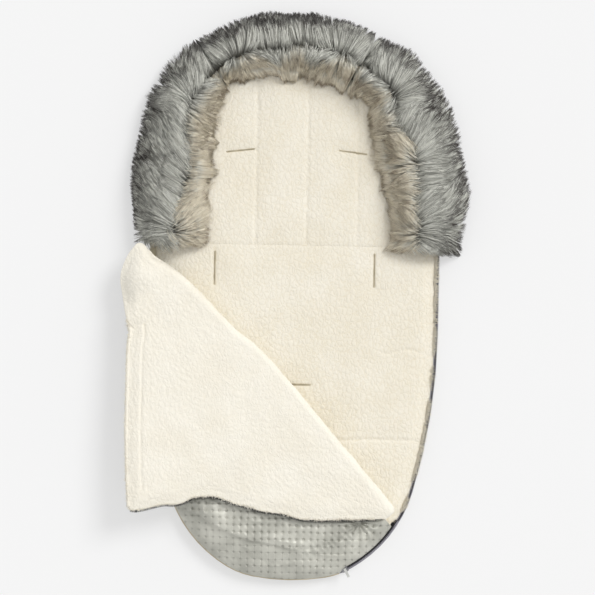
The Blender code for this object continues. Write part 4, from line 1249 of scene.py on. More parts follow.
@dataclass
class Fold:
    """The diagonal fold of the cover and its two frames: level, and tilted with the turned-back part."""

    place: tuple = (0.1738, -0.3680, 0.0450)
    direction: float = math.radians(130.7)
    tilt: float = math.radians(3.0)
    radius: float = 0.0120
    length: float = 0.5360
    width: float = 0.3280
    middle: float = 0.0070
    edge_half: float = 0.0032
    full_half: float = 0.0060
    edge_width: float = 0.0220
    zip_setback: float = 0.0012
    satin_setback: float = 0.0040
    hem_setback: float = 0.0020
    tape_low: float = 0.0057
    tape_high: float = 0.0071
    corner: float = 0.2950
    smoothing: int = 8
    edge_step: float = 0.002
    edge_waves: tuple = ((0.016, 0.0007), (0.006, 0.0004))
    bends: tuple = (
        (0.0, 0.0), (0.330, 0.0), (0.372, 0.005), (0.402, 0.0130), (0.466, 0.0178), (0.492, 0.0208),
        (0.511, 0.0226), (0.536, 0.0258),
    )
    edge_shares: tuple = (
        (0.022, 0.040), (0.041, 0.098), (0.119, 0.262), (0.209, 0.402), (0.313, 0.555), (0.399, 0.686),
        (0.485, 0.878), (0.528, 0.970), (0.550, 0.992), (0.571, 0.968), (0.640, 0.884),
        (0.739, 0.756), (0.856, 0.591), (0.937, 0.476), (0.966, 0.422), (1.0, 0.405),
    )
    lifts: tuple = (
        (-0.262, 0.0), (-0.240, 3.0), (-0.206, 10.0), (-0.190, 7.0), (-0.177, 9.0), (-0.159, 17.0),
        (-0.119, 19.0), (-0.093, 12.0), (-0.075, 10.0), (-0.048, 5.5), (-0.009, 6.0), (0.018, 1.0),
        (0.044, 2.0), (0.070, 6.0), (0.110, 5.0), (0.136, 4.0), (0.160, 1.0),
    )

    def __post_init__(self) -> None:
        """Work out the axes and the edge of the turned-back part."""
        self.along = np.array([math.cos(self.direction), math.sin(self.direction), 0.0])
        self.across = np.array([-math.sin(self.direction), math.cos(self.direction), 0.0])
        self.up = np.array([0.0, 0.0, 1.0])
        self.leaf = self.across * math.cos(self.tilt) + self.up * math.sin(self.tilt)
        self.out = -self.across * math.sin(self.tilt) + self.up * math.cos(self.tilt)
        corners = np.array(self.edge_shares) * (self.length, self.width)
        steps = path_lengths(corners)
        fine = np.arange(0.0, steps[-1], self.edge_step)
        self.edge = read_plan(fine, steps, corners)
        lifts = np.array(self.lifts) * (1.0, MM)
        shown = self.place[0] + self.edge[:, 0] * self.along[0] + self.edge[:, 1] * self.across[0]
        lift = np.interp(shown, lifts[:, 0], lifts[:, 1]) * (self.edge[:, 0] < self.corner - 0.010)
        self.edge += lift[:, None] * (self.along[1], self.across[1])
        for _ in range(self.smoothing):
            self.edge[1:-1] = (self.edge[:-2] + self.edge[1:-1] * 2.0 + self.edge[2:]) / 4.0
        tangent = unit(np.gradient(self.edge, axis=0))
        self.edge_normal = np.stack([-tangent[:, 1], tangent[:, 0]], axis=1)

    def level(self, along: Array, across: Array, height: Array) -> Array:
        """Places from the level frame's coordinates."""
        return (np.array(self.place) + along[..., None] * self.along + across[..., None] * self.across
                + height[..., None] * self.up)

    def tilted(self, along: Array, shift: Array, across: Array, height: Array) -> Array:
        """Places from the tilted frame's coordinates, which starts shifted across the level frame."""
        return (np.array(self.place) + along[..., None] * self.along + shift[..., None] * self.across
                + (across - shift)[..., None] * self.leaf + height[..., None] * self.out)

    def bend(self, along: Array) -> Array:
        """How far the fold's middle is drawn to the left of the straight axis."""
        return np.interp(along, *np.array(self.bends).T)

    def half(self, inset: Array) -> Array:
        """Half the turned-back part's thickness at a distance in from its free edge."""
        return self.edge_half + (self.full_half - self.edge_half) * smooth(inset / self.edge_width)

    def setback(self, zip_inset: float, relief: Relief) -> Array:
        """The edge drawn in to where the cloth ends, one row a point.

        Args:
            zip_inset: How far the cloth is drawn in along the zip.
            relief: Noise that makes the edge waver.

        Returns:
            The points of the edge.
        """
        zip_side = smooth((self.corner - self.edge[:, 0]) / 0.006)
        inset = self.hem_setback + (zip_inset - self.hem_setback) * zip_side
        inset = inset + sum(relief.waves(self.edge, length, layer) * height
                            for layer, (length, height) in enumerate(self.edge_waves)) * zip_side
        return self.edge - self.edge_normal * inset[:, None]

    def reach(self, along: Array, edge: Array) -> Array:
        """How wide the turned-back part is at a place along the fold."""
        return np.interp(along, edge[:, 0], edge[:, 1])


@dataclass
class TurnedCover:
    """The turned-back part of the cover: pile over the fold, outer cloth under it, and its hem."""

    fold: Fold
    relief: Relief
    wardrobe: Wardrobe
    spacing: float = 0.0024
    start: float = 0.0120
    pile_thickness: float = 0.0042
    strip: float = 0.0160
    leaf_columns: int = 118
    nose_columns: int = 17
    strip_columns: int = 5
    head_start: float = 0.4020
    bend_heights: tuple = (-0.0084, 0.0086)
    head_bend_heights: tuple = (-0.0004, 0.0004)
    curl_height: float = 0.0007
    curl_size: tuple = (0.0078, 0.0098)
    puffs: tuple = ((0.055, 1.3), (0.022, 0.5))
    hem_stitch: float = 0.024
    hem_groove: tuple = (0.0022, 1.5)
    cloth_height: float = 0.0120
    tuck_low: tuple = (
        (0.0140, -0.0008, -0.0030), (0.0090, -0.0007, -0.0028), (0.0040, -0.0006, -0.0026),
        (0.0008, -0.0005, -0.0024),
    )
    tuck_nose: tuple = (
        (0.0, -0.00028, -0.0020, -0.0012), (-0.0002, 0.0, -0.0023, 0.0), (0.0, 0.00028, -0.0020, 0.0012),
    )
    tuck_high: tuple = ((0.0008, 0.0005, 0.0024), (0.0040, 0.0006, 0.0026), (0.0090, 0.0008, 0.0030))
    tuck_back: float = 0.0010
    tuck_start: float = 0.010
    tuck_reach: float = 0.0140
    tuck_share: float = 0.6
    pile_round: float = 0.0045
    pile_level: float = 0.4
    cloth_round: float = 0.0050
    cloth_level: float = 0.6

    def build(self) -> None:
        """Build the pile and the outer cloth."""
        self.pile()
        self.shell()

    def rows(self, start: float) -> Array:
        """Places of the rows along the fold."""
        count = int((self.fold.length - start) / self.spacing)
        return np.linspace(start, self.fold.length, count)

    def leaf_shares(self) -> Array:
        """Shares across the turned-back part, closer together at its free edge."""
        return 1.0 - (1.0 - np.linspace(0.0, 1.0, self.leaf_columns)) ** 1.3

    def edge_inset(self, along: Array, across: Array, edge: Array) -> Array:
        """Distance in from the free edge."""
        return line_distance(np.stack([along, across], axis=-1), np.concatenate([edge[:-1:3], edge[-1:]]))

    def pile(self) -> None:
        """One sheet of pile from inside the pocket, round the fold and over the turned-back part."""
        fold = self.fold
        rows = self.rows(self.start)
        edge = fold.setback(fold.zip_setback, self.relief)
        bend = fold.bend(rows)[:, None]
        radius = fold.radius * dome((rows - self.start + 0.0016) / 0.012)[:, None]
        reach = np.maximum(fold.reach(rows, edge)[:, None], bend + 0.0005)
        along = rows[:, None]
        places, normals, cloth, inner = [], [], [], []
        inner_radius = radius * (1.0 - self.pile_thickness / fold.radius)
        for share in np.linspace(1.0, 1.0 / self.strip_columns, self.strip_columns):
            across = bend + self.strip * share
            places.append(fold.level(along, across, -radius))
            inner.append(fold.level(along, across, -inner_radius))
            normals.append(np.broadcast_to(-fold.up, places[-1].shape))
            cloth.append(-self.strip * share - fold.radius * math.pi + bend)
        turn_end = math.pi - fold.tilt
        for turn in np.linspace(0.0, turn_end, self.nose_columns):
            facing = -math.sin(turn) * fold.across - math.cos(turn) * fold.up
            for face, size in ((places, radius), (inner, inner_radius)):
                face.append(fold.level(along, bend - size * math.sin(turn), -size * math.cos(turn)))
            normals.append(np.broadcast_to(facing, places[-1].shape))
            cloth.append(-fold.radius * (turn_end - turn) + bend)
        for share in self.leaf_shares()[1:]:
            across = bend + (reach - bend) * share
            inset = self.edge_inset(np.broadcast_to(along, across.shape), across, edge)
            half = fold.half(inset)
            full = fold.middle + half
            swell = smooth((across - bend) / 0.030)
            top = radius + (full - radius) * swell
            low = np.maximum(0.0046, 0.0086 - 0.052 * across)
            low = low + (np.maximum(fold.tape_high, low) - low) * (1.0 - smooth((inset - 0.0060) / 0.008))
            low = np.minimum(low, top - 0.001)
            low, top = pinch(low, top, self.pile_level, dome(inset / self.pile_round))
            places.append(fold.tilted(along, bend, across, top))
            inner.append(fold.tilted(along, bend, across, low))
            normals.append(np.broadcast_to(fold.out, places[-1].shape))
            cloth.append(across)
        over = np.stack(places, axis=1)[:, :, 0]
        under = np.stack(inner, axis=1)[:, :, 0]
        facing = np.stack(normals, axis=1)[:, :, 0]
        flat = self.flat_cloth(along, cloth)
        over = over + facing * self.pile_relief(flat, edge)[..., None]
        turned = self.turn_flat(flat)
        cut = int(np.searchsorted(rows, self.head_start))
        for name, part, (low, high) in (("cover_pile", slice(0, cut + 1), self.bend_heights),
                                        ("cover_pile_head", slice(cut, None), self.head_bend_heights)):
            piece = thick_sheet(name, over[part], under[part])
            lay_cloth(piece, turned[part])
            nodes = ("flap_lining", "flap_wadding", "cover_fold_roll")
            self.wardrobe.finish(piece, "cover_pile", "pile_lining", None, nodes, 0.4)
            self.bend_with_flap(piece, low, high)

    def pile_relief(self, flat: Array, edge: Array) -> Array:
        """How far the pile stands out at places on the flat cloth."""
        fold = self.fold
        inset = self.edge_inset(flat[..., 0], flat[..., 1], edge)
        rise = smooth(inset / 0.012)
        spin = self.turn_flat(flat)
        curls = self.relief.curls(spin, *self.curl_size)
        height = (curls - 0.7) * self.curl_height * smooth(inset / 0.005)
        height += self.relief.puffs(spin, self.puffs, rise)
        hem = smooth((flat[..., 0] - fold.corner - 0.005) / 0.01)
        height -= groove(inset - self.hem_stitch, self.hem_groove) * hem
        return height

    def flat_cloth(self, along: Array, columns: list) -> Array:
        """Places on the flat cloth, one row for each place along the fold."""
        across = np.concatenate([np.broadcast_to(column, along.shape) for column in columns], axis=1)
        return np.stack([np.broadcast_to(along, across.shape), across], axis=-1)

    def turn_flat(self, flat: Array) -> Array:
        """The flat cloth's places, turned so that the weave runs up and across."""
        turn = -self.fold.direction
        spin = np.array([[math.cos(turn), -math.sin(turn)], [math.sin(turn), math.cos(turn)]])
        return flat @ spin

    def shell(self) -> None:
        """The quilted outer cloth under the turned-back part, tucked into the fold."""
        fold = self.fold
        rows = self.rows(self.start + self.tuck_start)
        edge = fold.setback(fold.satin_setback, self.relief)
        bend = fold.bend(rows)[:, None] * self.tuck_share
        reach = np.maximum(fold.reach(rows, edge)[:, None], bend + self.tuck_reach)
        along = rows[:, None]
        over, under, cloth = [], [], []
        for across, height, back in self.tuck_low:
            over.append(fold.level(along, bend + across, np.full_like(along, height)))
            under.append(fold.level(along, bend + across - self.tuck_back, np.full_like(along, back)))
            cloth.append(bend - across)
        for across, height, far, back in self.tuck_nose:
            over.append(fold.level(along, bend + across, np.full_like(along, height)))
            under.append(fold.level(along, bend + far, np.full_like(along, back)))
            cloth.append(bend + across)
        for across, height, back in self.tuck_high:
            over.append(fold.tilted(along, bend, bend + across, np.full_like(along, height)))
            under.append(fold.tilted(along, bend, bend + across - self.tuck_back, np.full_like(along, back)))
            cloth.append(bend + across)
        start = bend + self.cloth_height
        for share in self.leaf_shares():
            across = start + (reach - start) * share
            inset = self.edge_inset(np.broadcast_to(along, across.shape), across, edge)
            half = fold.half(inset)
            low = fold.middle - half
            top = low + 0.0030
            top = top + (np.minimum(fold.tape_low, top) - top) * (1.0 - smooth((inset - 0.0040) / 0.008))
            low, top = pinch(low, top, self.cloth_level, dome(inset / self.cloth_round))
            flat = self.turn_flat(np.stack([np.broadcast_to(along, across.shape), across], axis=-1))
            puff = self.relief.waves(flat, 0.045) * 0.8 * MM * smooth(inset / 0.02)
            low = low + quilt_dots(flat) - np.maximum(puff, -0.4 * MM) * smooth(across / 0.05)
            over.append(fold.tilted(along, bend, across, np.maximum(low, 0.0005)))
            under.append(fold.tilted(along, bend, across, np.maximum(top, low + 0.0015)))
            cloth.append(across)
        over = np.stack(over, axis=1)[:, :, 0]
        under = np.stack(under, axis=1)[:, :, 0]
        flat = self.flat_cloth(along, cloth)
        piece = thick_sheet("cover_outer_cloth", over, under)
        lay_cloth(piece, self.turn_flat(flat))
        self.wardrobe.finish(piece, "outer_cloth", "outer_shell", None, ("flap_shell",), 0.2)
        self.bend_with_flap(piece, *self.head_bend_heights)

    def bend_with_flap(self, piece: bpy.types.Object, low: float, high: float) -> None:
        """Bake a piece's place into its mesh."""
        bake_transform(piece)


def add_strands(name: str, centres: Array, radii: Array, hair: Array) -> bpy.types.Object:
    """Many tapered hairs as one mesh, each with three rings and a pointed tip.

    Args:
        name: Name of the piece.
        centres: Middle points, as hairs by four places from root to tip.
        radii: Radii, as hairs by three rings.
        hair: The stored vector of each of the four places of each hair.

    Returns:
        The piece.
    """
    count = len(centres)
    points = np.empty((count, STRAND_POINTS, 3))
    stored = np.empty((count, STRAND_POINTS, 3))
    for ring in range(STRAND_RINGS):
        ahead = centres[:, ring + 1] - centres[:, max(0, ring - 1)]
        side = np.cross(ahead, (0.0, 0.0, 1.0))
        side /= np.maximum(np.linalg.norm(side, axis=1), 1e-9)[:, None]
        over = np.cross(side, ahead)
        over /= np.maximum(np.linalg.norm(over, axis=1), 1e-9)[:, None]
        for corner in range(STRAND_SIDES):
            turn = math.tau * corner / STRAND_SIDES
            reach = (side * math.cos(turn) + over * math.sin(turn)) * radii[:, ring, None]
            points[:, ring * STRAND_SIDES + corner] = centres[:, ring] + reach
            stored[:, ring * STRAND_SIDES + corner] = hair[:, ring]
    points[:, -1] = centres[:, -1]
    stored[:, -1] = hair[:, -1]
    faces = [list(range(STRAND_SIDES))]
    sides = [(corner, (corner + 1) % STRAND_SIDES) for corner in range(STRAND_SIDES)]
    *lower, top = range(0, STRAND_SIDES * STRAND_RINGS, STRAND_SIDES)
    for low in lower:
        high = low + STRAND_SIDES
        for corner, after in sides:
            faces += [[low + corner, high + corner, high + after], [low + corner, high + after, low + after]]
    faces += [[top + corner, STRAND_POINTS - 1, top + after] for corner, after in sides]
    corners = np.array(faces)[None] + STRAND_POINTS * np.arange(count)[:, None, None]
    data = bpy.data.meshes.new(name)
    data.from_pydata(points.reshape(-1, 3).tolist(), [], corners.reshape(-1, 3).tolist())
    data.shade_smooth()
    piece = bpy.data.objects.new(name, data)
    bpy.context.scene.collection.objects.link(piece)
    set_vectors(piece, HAIR_ATTRIBUTE, stored)
    LOG.info("%s: %d hairs", name, count)
    return piece


@dataclass
class FurTrim:
    """The long-haired trim round the head section, in three lengths that meet in mitres."""

    outline: BackOutline
    relief: Relief
    wardrobe: Wardrobe
    overhang: float = 0.0414
    reach: float = 0.0806
    end_y: float = 0.0880
    right_mitre: float = math.radians(63.0)
    left_mitre: float = math.radians(126.0)
    hairs: int = 10500
    parts: int = 2
    first_seed: int = 31
    length: float = 0.0560
    sweep: float = 0.46
    tuft: tuple = (0.0050, 0.0105)
    surface: tuple = (
        (-0.30, 23.5), (-0.04, 25.0), (0.0, 29.0), (0.05, 42.0), (0.13, 56.0), (0.22, 60.0), (0.34, 63.0),
        (0.52, 62.5), (0.72, 57.0), (0.88, 46.0), (0.97, 32.0), (1.02, 18.0), (1.10, 8.0),
    )
    skin: tuple = (
        (0.070, 23.6), (0.075, 25.5), (0.13, 36.0), (0.20, 42.0), (0.27, 40.5), (0.34, 45.0), (0.45, 49.0),
        (0.56, 47.0), (0.66, 41.0), (0.74, 32.0), (0.80, 20.0), (0.83, 9.0), (0.81, 4.6), (0.675, 4.6),
        (0.668, 17.6), (0.455, 23.8),
    )
    whorls: tuple = (
        (-0.097, 0.386), (0.070, 0.389), (-0.180, 0.320), (0.154, 0.333), (0.187, 0.221), (0.195, 0.083),
        (-0.196, 0.092),
    )
    held: float = 0.66
    outer_reach: tuple = (
        (0.0, 0.92), (0.03, 1.02), (0.05, 1.05), (0.10, 1.03), (0.13, 1.02), (0.16, 1.08), (0.20, 1.10),
        (0.24, 1.08), (0.28, 1.11), (0.305, 1.02), (0.33, 0.99), (0.40, 0.98), (0.45, 0.96),
        (0.48, 1.02), (0.55, 1.05), (0.59, 1.09), (0.62, 1.13), (0.66, 1.09), (0.70, 1.03), (0.73, 0.98),
        (0.78, 0.96), (0.83, 0.91), (0.871, 0.89),
    )
    inner_reach: tuple = (
        (0.0, 0.04), (0.05, 0.0), (0.08, -0.06), (0.13, -0.07), (0.176, 0.01), (0.224, 0.05),
        (0.262, 0.18), (0.285, 0.21), (0.337, 0.14), (0.373, 0.11), (0.426, 0.15), (0.455, 0.12),
        (0.487, 0.18), (0.517, 0.26), (0.544, 0.32), (0.566, 0.36), (0.583, 0.33), (0.606, 0.27),
        (0.629, 0.21), (0.647, 0.14), (0.671, 0.07), (0.713, 0.0), (0.747, -0.04), (0.80, -0.05),
        (0.871, -0.07),
    )
    part_places: tuple = (
        (0.0, 0.28), (0.10, 0.35), (0.22, 0.33), (0.26, 0.44), (0.36, 0.43), (0.45, 0.38), (0.53, 0.44),
        (0.635, 0.48), (0.713, 0.30), (0.80, 0.24), (0.871, 0.34),
    )
    tape_shares: tuple = (0.13, 0.40)
    tape_heights: tuple = (0.0226, 0.0234)
    leg_turn: tuple = (0.35, 0.75)
    drop_y: tuple = (0.118, 0.026)
    drop_pull: tuple = (1.7, 0.75)
    whorl_core: float = 0.016
    whorl_pull: float = 0.85
    stray: tuple = ((0.30, 0.050), (0.28, 0.017))
    part_width: float = 0.05
    root_floor: tuple = (0.455, 0.0238, 0.0060)
    tip_floor: tuple = (0.60, 0.0245, 0.004)
    outer_limit: tuple = (0.985, 0.070)
    inner_limit: tuple = (0.02, 0.13, 0.05)
    inner_wave: float = 0.013
    least_room: float = 0.004
    least_forward: float = 0.35
    tip_scatter: float = 0.004
    end_drop: tuple = (0.02, 1.2, 0.014)
    tape_step: float = 0.006
    skin_step: float = 0.004
    skin_gap: float = 0.0004
    # Place along a hair whose colour the skin takes: the dark root, partly painted shade under the hair
    skin_tone: float = 0.10
    base: tuple = ((0.0, 23.6), (0.455, 23.8), (0.668, 17.6), (0.669, 4.6), (1.0, 4.6))
    part_waves: tuple = ((0.045, 0.060), (0.014, 0.035))
    root_band: tuple = (0.085, 0.81)
    tuft_band: tuple = (0.07, 0.82)
    crowd_share: float = 0.30
    crowd_width: float = 0.055
    hair_places: tuple = (0.0, 0.38, 0.72, 1.0)
    hair_taper: tuple = (1.0, 1.0, 0.62)
    hair_radius: tuple = (0.00046, 0.00016)
    least_height: float = 0.0015
    whorl_size: float = 0.045
    doubt: float = 0.16
    length_range: tuple = (0.80, 0.35)
    inward_range: tuple = (0.50, 0.40)
    droop_share: float = 0.42
    right_lowest: tuple = (0.062, 0.006)
    left_lowest: tuple = (0.056, 0.026)
    ease: float = 0.012
    root_depth: float = 0.0015
    thin_root: float = 0.010
    thin_tip: float = 0.012
    part_rise: float = 0.004
    bow: tuple = (0.22, 0.07)
    arch: tuple = (0.006, 0.005)
    part_arch: float = 0.006
    mitre_reach: float = 0.07
    mitre_gap: tuple = (0.0011, 0.0009)
    mitre_thin: float = 0.007
    end_thin: float = 0.020
    droop_top: float = 0.1120
    droop_way: tuple = (0.48, -0.88)

    def __post_init__(self) -> None:
        """Lay out the stations along the trim."""
        legs = np.arange(self.end_y, self.outline.hood_centre_y - 0.001, 0.003)
        turns = np.linspace(0.0, math.pi, 260)
        edge = np.array([self.outline.hood_point(turn) for turn in turns])
        outward = np.stack([np.cos(turns), np.sin(turns)], axis=1)
        right = np.stack([np.full(len(legs), self.outline.half_width), legs], axis=1)
        left = right[::-1] * (-1.0, 1.0)
        edge = np.concatenate([right, edge, left])
        outward = np.concatenate([np.tile((1.0, 0.0), (len(legs), 1)), outward,
                                  np.tile((-1.0, 0.0), (len(legs), 1))])
        self.turns = np.concatenate([np.zeros(len(legs)), turns, np.full(len(legs), math.pi)])
        self.inner = edge - outward * self.reach
        self.span = outward * (self.reach + self.overhang)
        middle = edge - outward * 0.02
        self.places = path_lengths(middle)
        self.width = self.reach + self.overhang

    def at(self, place: Array) -> tuple[Array, Array, Array]:
        """The trim's inner edge, its span and its arch angle at places along it."""
        inner, span = (read_plan(place, self.places, line) for line in (self.inner, self.span))
        return inner, span, np.interp(place, self.places, self.turns)

    def mitre_places(self) -> tuple[float, float]:
        """Places of the two mitres along the trim."""
        own = slice(1, len(self.turns) - 1)
        return tuple(np.interp(turn, self.turns[own], self.places[own])
                     for turn in (self.right_mitre, self.left_mitre))

    def part_share(self, place: Array) -> Array:
        """Where across the trim the hair parts."""
        line = np.stack([place, place * 0.0], axis=-1)
        middle = np.interp(place, *np.array(self.part_places).T)
        for layer, (length, height) in enumerate(self.part_waves):
            middle = middle + self.relief.waves(line, length, layer) * height
        return middle

    def limits(self, place: Array) -> tuple[Array, Array]:
        """Where the trim's inner and outer edges lie, as shares of its even width."""
        low, high = (np.interp(place, *np.array(table).T) for table in (self.inner_reach, self.outer_reach))
        return low, high

    def spread(self, place: Array, share: Array) -> Array:
        """Real share across the trim of a share of its even section."""
        low, high = self.limits(place)
        rest = 1.0 - self.held
        return np.where(share < self.held, low + share * (self.held - low) / self.held,
                        self.held + (share - self.held) * (high - self.held) / rest)

    def gather(self, place: Array, share: Array) -> Array:
        """Share of the even section of a real share across the trim."""
        low, high = self.limits(place)
        rest = 1.0 - self.held
        return np.where(share < self.held, (share - low) * self.held / (self.held - low),
                        self.held + (share - self.held) * rest / (high - self.held))

    def sink(self, place: Array) -> Array:
        """How much the fur thins towards the mitres and its two ends, 0 to 1."""
        last = self.places[-1]
        result = np.zeros_like(place)
        for mitre in self.mitre_places():
            result = np.maximum(result, dip(place - mitre, self.mitre_thin))
        ends = np.minimum(place, last - place)
        return np.maximum(result, 1.0 - dome(np.clip(ends, 0.0, None) / self.end_thin))

    def own_side(self, place: Array, tips: Array) -> Array:
        """Plan points of hair tips, kept on their own side of each mitre."""
        result = tips.copy()
        for mitre in self.mitre_places():
            inner, span, _ = self.at(np.array(mitre))
            along = np.array([-span[1], span[0]]) / np.linalg.norm(span)
            side = np.where(place < mitre, -1.0, 1.0)
            past = ((result - inner) @ along) * side
            gap = self.mitre_gap[0] + self.mitre_gap[1] * self.relief.waves(result, 0.012)
            close = np.abs(place - mitre) < self.mitre_reach
            result += (np.maximum(gap - past, 0.0) * side * close)[:, None] * along
        return result

    def flow(self, place: Array, plan: Array, side: Array) -> Array:
        """Direction in which the hair lies in the plan.

        Args:
            place: Places along the trim.
            plan: Plan points of the roots.
            side: 1 for hair that points outwards, -1 for hair that points inwards.

        Returns:
            Unit vectors.
        """
        _, span, turn = self.at(place)
        out = span / np.linalg.norm(span, axis=-1, keepdims=True)
        sense = np.where(turn < math.pi / 2.0, 1.0, -1.0)[..., None]
        headward = np.stack([-out[..., 1], out[..., 0]], axis=-1) * sense
        leg = smooth((np.abs(turn - math.pi / 2.0) - self.leg_turn[0]) / self.leg_turn[1])
        drop = smooth((self.drop_y[0] - plan[..., 1]) / self.drop_y[1])
        away = np.where(turn < math.pi / 2.0, *self.drop_pull) * drop
        result = out * side[..., None] + headward * (self.sweep * leg - away)[..., None]
        for spot in self.whorls:
            away = plan - np.array(spot)
            far = np.linalg.norm(away, axis=-1)
            near = dip(far, self.whorl_size) * smooth(far / self.whorl_core)
            result = result + away / np.maximum(far, 1e-6)[..., None] * (near * self.whorl_pull)[..., None]
        broad, fine = (angle * self.relief.waves(plan, wave, layer)
                       for layer, (angle, wave) in enumerate(self.stray))
        turned = broad + fine
        cosine, sine = np.cos(turned), np.sin(turned)
        result = np.stack([result[..., 0] * cosine - result[..., 1] * sine,
                           result[..., 0] * sine + result[..., 1] * cosine], axis=-1)
        return result / np.linalg.norm(result, axis=-1, keepdims=True)

    def height(self, share: Array, table: tuple) -> Array:
        """Height from a table over the width, in metres."""
        values = np.array(table)
        return np.interp(share, values[:, 0], values[:, 1]) * MM

    def build(self) -> None:
        """Build the skins and the hair, and dress the sewn tape under them."""
        self.tape()
        right, left = self.mitre_places()
        last = self.places[-1]
        seed = self.first_seed
        for name, start, end in (("right", 0.0, right), ("top", right, left), ("left", left, last)):
            self.skin_piece(name, start, end)
            borders = np.linspace(start, end, self.parts + 1)
            for number in range(self.parts):
                seed += 1
                hair = self.hair_piece(f"fur_{name}_hair_{number + 1}", borders[number:number + 2],
                                       (start, end), seed)
                self.wardrobe.finish(hair, "fur_pile", "fur", Body.BACK, (f"fur_{name}",))

    def tape(self) -> None:
        """The tape under the trim that it is sewn to."""
        rings = []
        low, high = self.tape_heights
        for place in np.arange(0.002, self.places[-1] - 0.002, self.tape_step):
            inner, span, _ = self.at(np.array(place))
            near, far = (float(self.spread(np.array(place), np.array(share))) for share in self.tape_shares)
            ring = []
            for share, height in ((near, low), (far, low), (far, high), (near, high)):
                ring.append([*(inner + span * share), height])
            rings.append(np.array(ring))
        piece = lofted("fur_trim_tape", rings)
        self.wardrobe.finish(piece, "slot_tape", "seam_tape", Body.BACK, ("fur_seam_tape",))

    def skin_piece(self, name: str, start: float, end: float) -> None:
        """The padded skin that one length of hair grows from."""
        section = np.array(self.skin)
        rings = []
        for place in np.linspace(start + self.skin_gap, end - self.skin_gap,
                                 int((end - start) / self.skin_step)):
            inner, span, _ = self.at(np.array(place))
            ends = min(place - start, end - place)
            lower = 0.55 + 0.45 * float(dome(np.array(ends / 0.016)))
            ring = []
            for share, height in section:
                base = np.interp(share, *np.array(self.base).T)
                lifted = max(height, base)
                if share < 0.82 and height > base + 1.0:
                    lifted = base + (height - base) * lower
                spot = inner + span * float(self.spread(np.array(place), np.array(share)))
                ring.append([*spot, lifted * MM])
            rings.append(np.array(ring))
        piece = lofted(f"fur_{name}_skin", rings)
        points = own_points(piece)
        shade = 0.30 + 0.2 * self.relief.waves(points[:, :2], 0.02)
        across = np.tile(section[:, 0], len(rings))
        # The skin takes the dark root colour, partly painted shade under the hair
        hair = np.stack([np.full(len(points), self.skin_tone), shade, across], axis=1)
        set_vectors(piece, HAIR_ATTRIBUTE, hair)
        self.wardrobe.finish(piece, "fur_pile", "fur", Body.BACK, (f"fur_{name}",), 0.5)

    def hair_piece(self, name: str, ends: Array, length: tuple, seed: int) -> bpy.types.Object:
        """Hair of one stretch of the trim.

        Args:
            name: Name of the piece.
            ends: Where the stretch starts and ends.
            length: Where the whole length of trim starts and ends.
            seed: Number that the hair's places come from.

        Returns:
            The piece.
        """
        random = np.random.default_rng(seed)
        count = self.hairs
        place = random.uniform(*ends, count)
        first_share, last_share = self.root_band
        share = first_share + (last_share - first_share) * random.random(count) ** 0.96
        crowd = random.random(count) < self.crowd_share
        crowded = self.part_share(place) + self.crowd_width * random.standard_normal(count)
        share = np.clip(np.where(crowd, crowded, share), first_share, last_share)
        cell_place = np.floor(place / self.tuft[0] + 0.5 * (np.floor(share * self.width / self.tuft[1]) % 2))
        cell_share = np.floor(share * self.width / self.tuft[1])
        rows, columns = (cell_place.astype(int) * 7) % 251, (cell_share.astype(int) * 13 + 5) % 251
        first, second = self.relief.table[rows, columns, 0], self.relief.table[rows, columns, 1]
        shift = 0.5 * (cell_share % 2)
        low, high = length[0] + 0.001, length[1] - 0.001
        tuft_place = np.clip((cell_place + 0.25 + 0.5 * first - shift) * self.tuft[0], low, high)
        tuft_share = (cell_share + 0.25 + 0.5 * second) * self.tuft[1] / self.width
        tuft_share = np.clip(tuft_share, *self.tuft_band)
        roots, tips, outward = self.reaches(place, share, random.random(count), np.full(count, 1.0))
        _, tuft_tips, tuft_out = self.reaches(tuft_place, tuft_share, first, 0.90 + 0.22 * second)
        together = np.where(outward == tuft_out, 0.42 + 0.40 * random.random(count), 0.0)
        tips = tips + (tuft_tips - tips) * together[:, None]
        tips[:, :2] = self.own_side(place, tips[:, :2])
        ahead = tips[:, :2] - roots[:, :2]
        reach = np.linalg.norm(ahead, axis=1)
        beside = np.stack([-ahead[:, 1], ahead[:, 0]], axis=1)
        bow = self.bow[0] * self.relief.waves(roots[:, :2],
                                              0.040) + self.bow[1] * random.standard_normal(count)
        puff = (self.arch[0] + self.arch[1] * random.random(count)) * smooth(reach / 0.02)
        puff = puff + self.part_arch * dip(share - self.part_share(place), 0.07)
        centres = np.empty((count, 4, 3))
        for number, part in enumerate(self.hair_places):
            curve = part * (1.0 - part)
            centres[:, number, :2] = roots[:, :2] + ahead * part + beside * (bow * curve * 2.0)[:, None]
            level = roots[:, 2] + (tips[:, 2] - roots[:, 2]) * part ** 0.9
            centres[:, number, 2] = level + puff * curve * 4.0
        centres[:, :, 2] = np.maximum(centres[:, :, 2], self.least_height)
        thick = (self.hair_radius[0] + self.hair_radius[1] * random.random(count))[:, None]
        radii = thick * np.array(self.hair_taper)
        stored = np.empty((count, 4, 3))
        tone = np.clip(0.35 * first + 0.65 * random.random(count), 0.0, 1.0)
        patch = self.relief.waves(np.stack([tuft_place, tuft_place * 0.0], axis=-1), 0.021) * 0.16
        stored[:, :, 0] = np.array(self.hair_places)[None]
        stored[:, :, 1] = tone[:, None]
        end_share = self.share_of(place, tips[:, :2])
        zone = np.clip(end_share + patch, 0.0, 1.0)
        leg = smooth((np.abs(self.at(place)[2] - math.pi / 2.0) - 0.75) / 0.45)
        zone = np.where(outward < 0.0, zone + (np.minimum(zone, 0.05) - zone) * leg, zone)
        stored[:, :, 2] = zone[:, None]
        return add_strands(name, centres, radii, stored)

    def share_of(self, place: Array, plan: Array) -> Array:
        """How far across the even section plan points lie."""
        inner, span, _ = self.at(place)
        return self.gather(place, ((plan - inner) * span).sum(axis=1) / self.width ** 2)

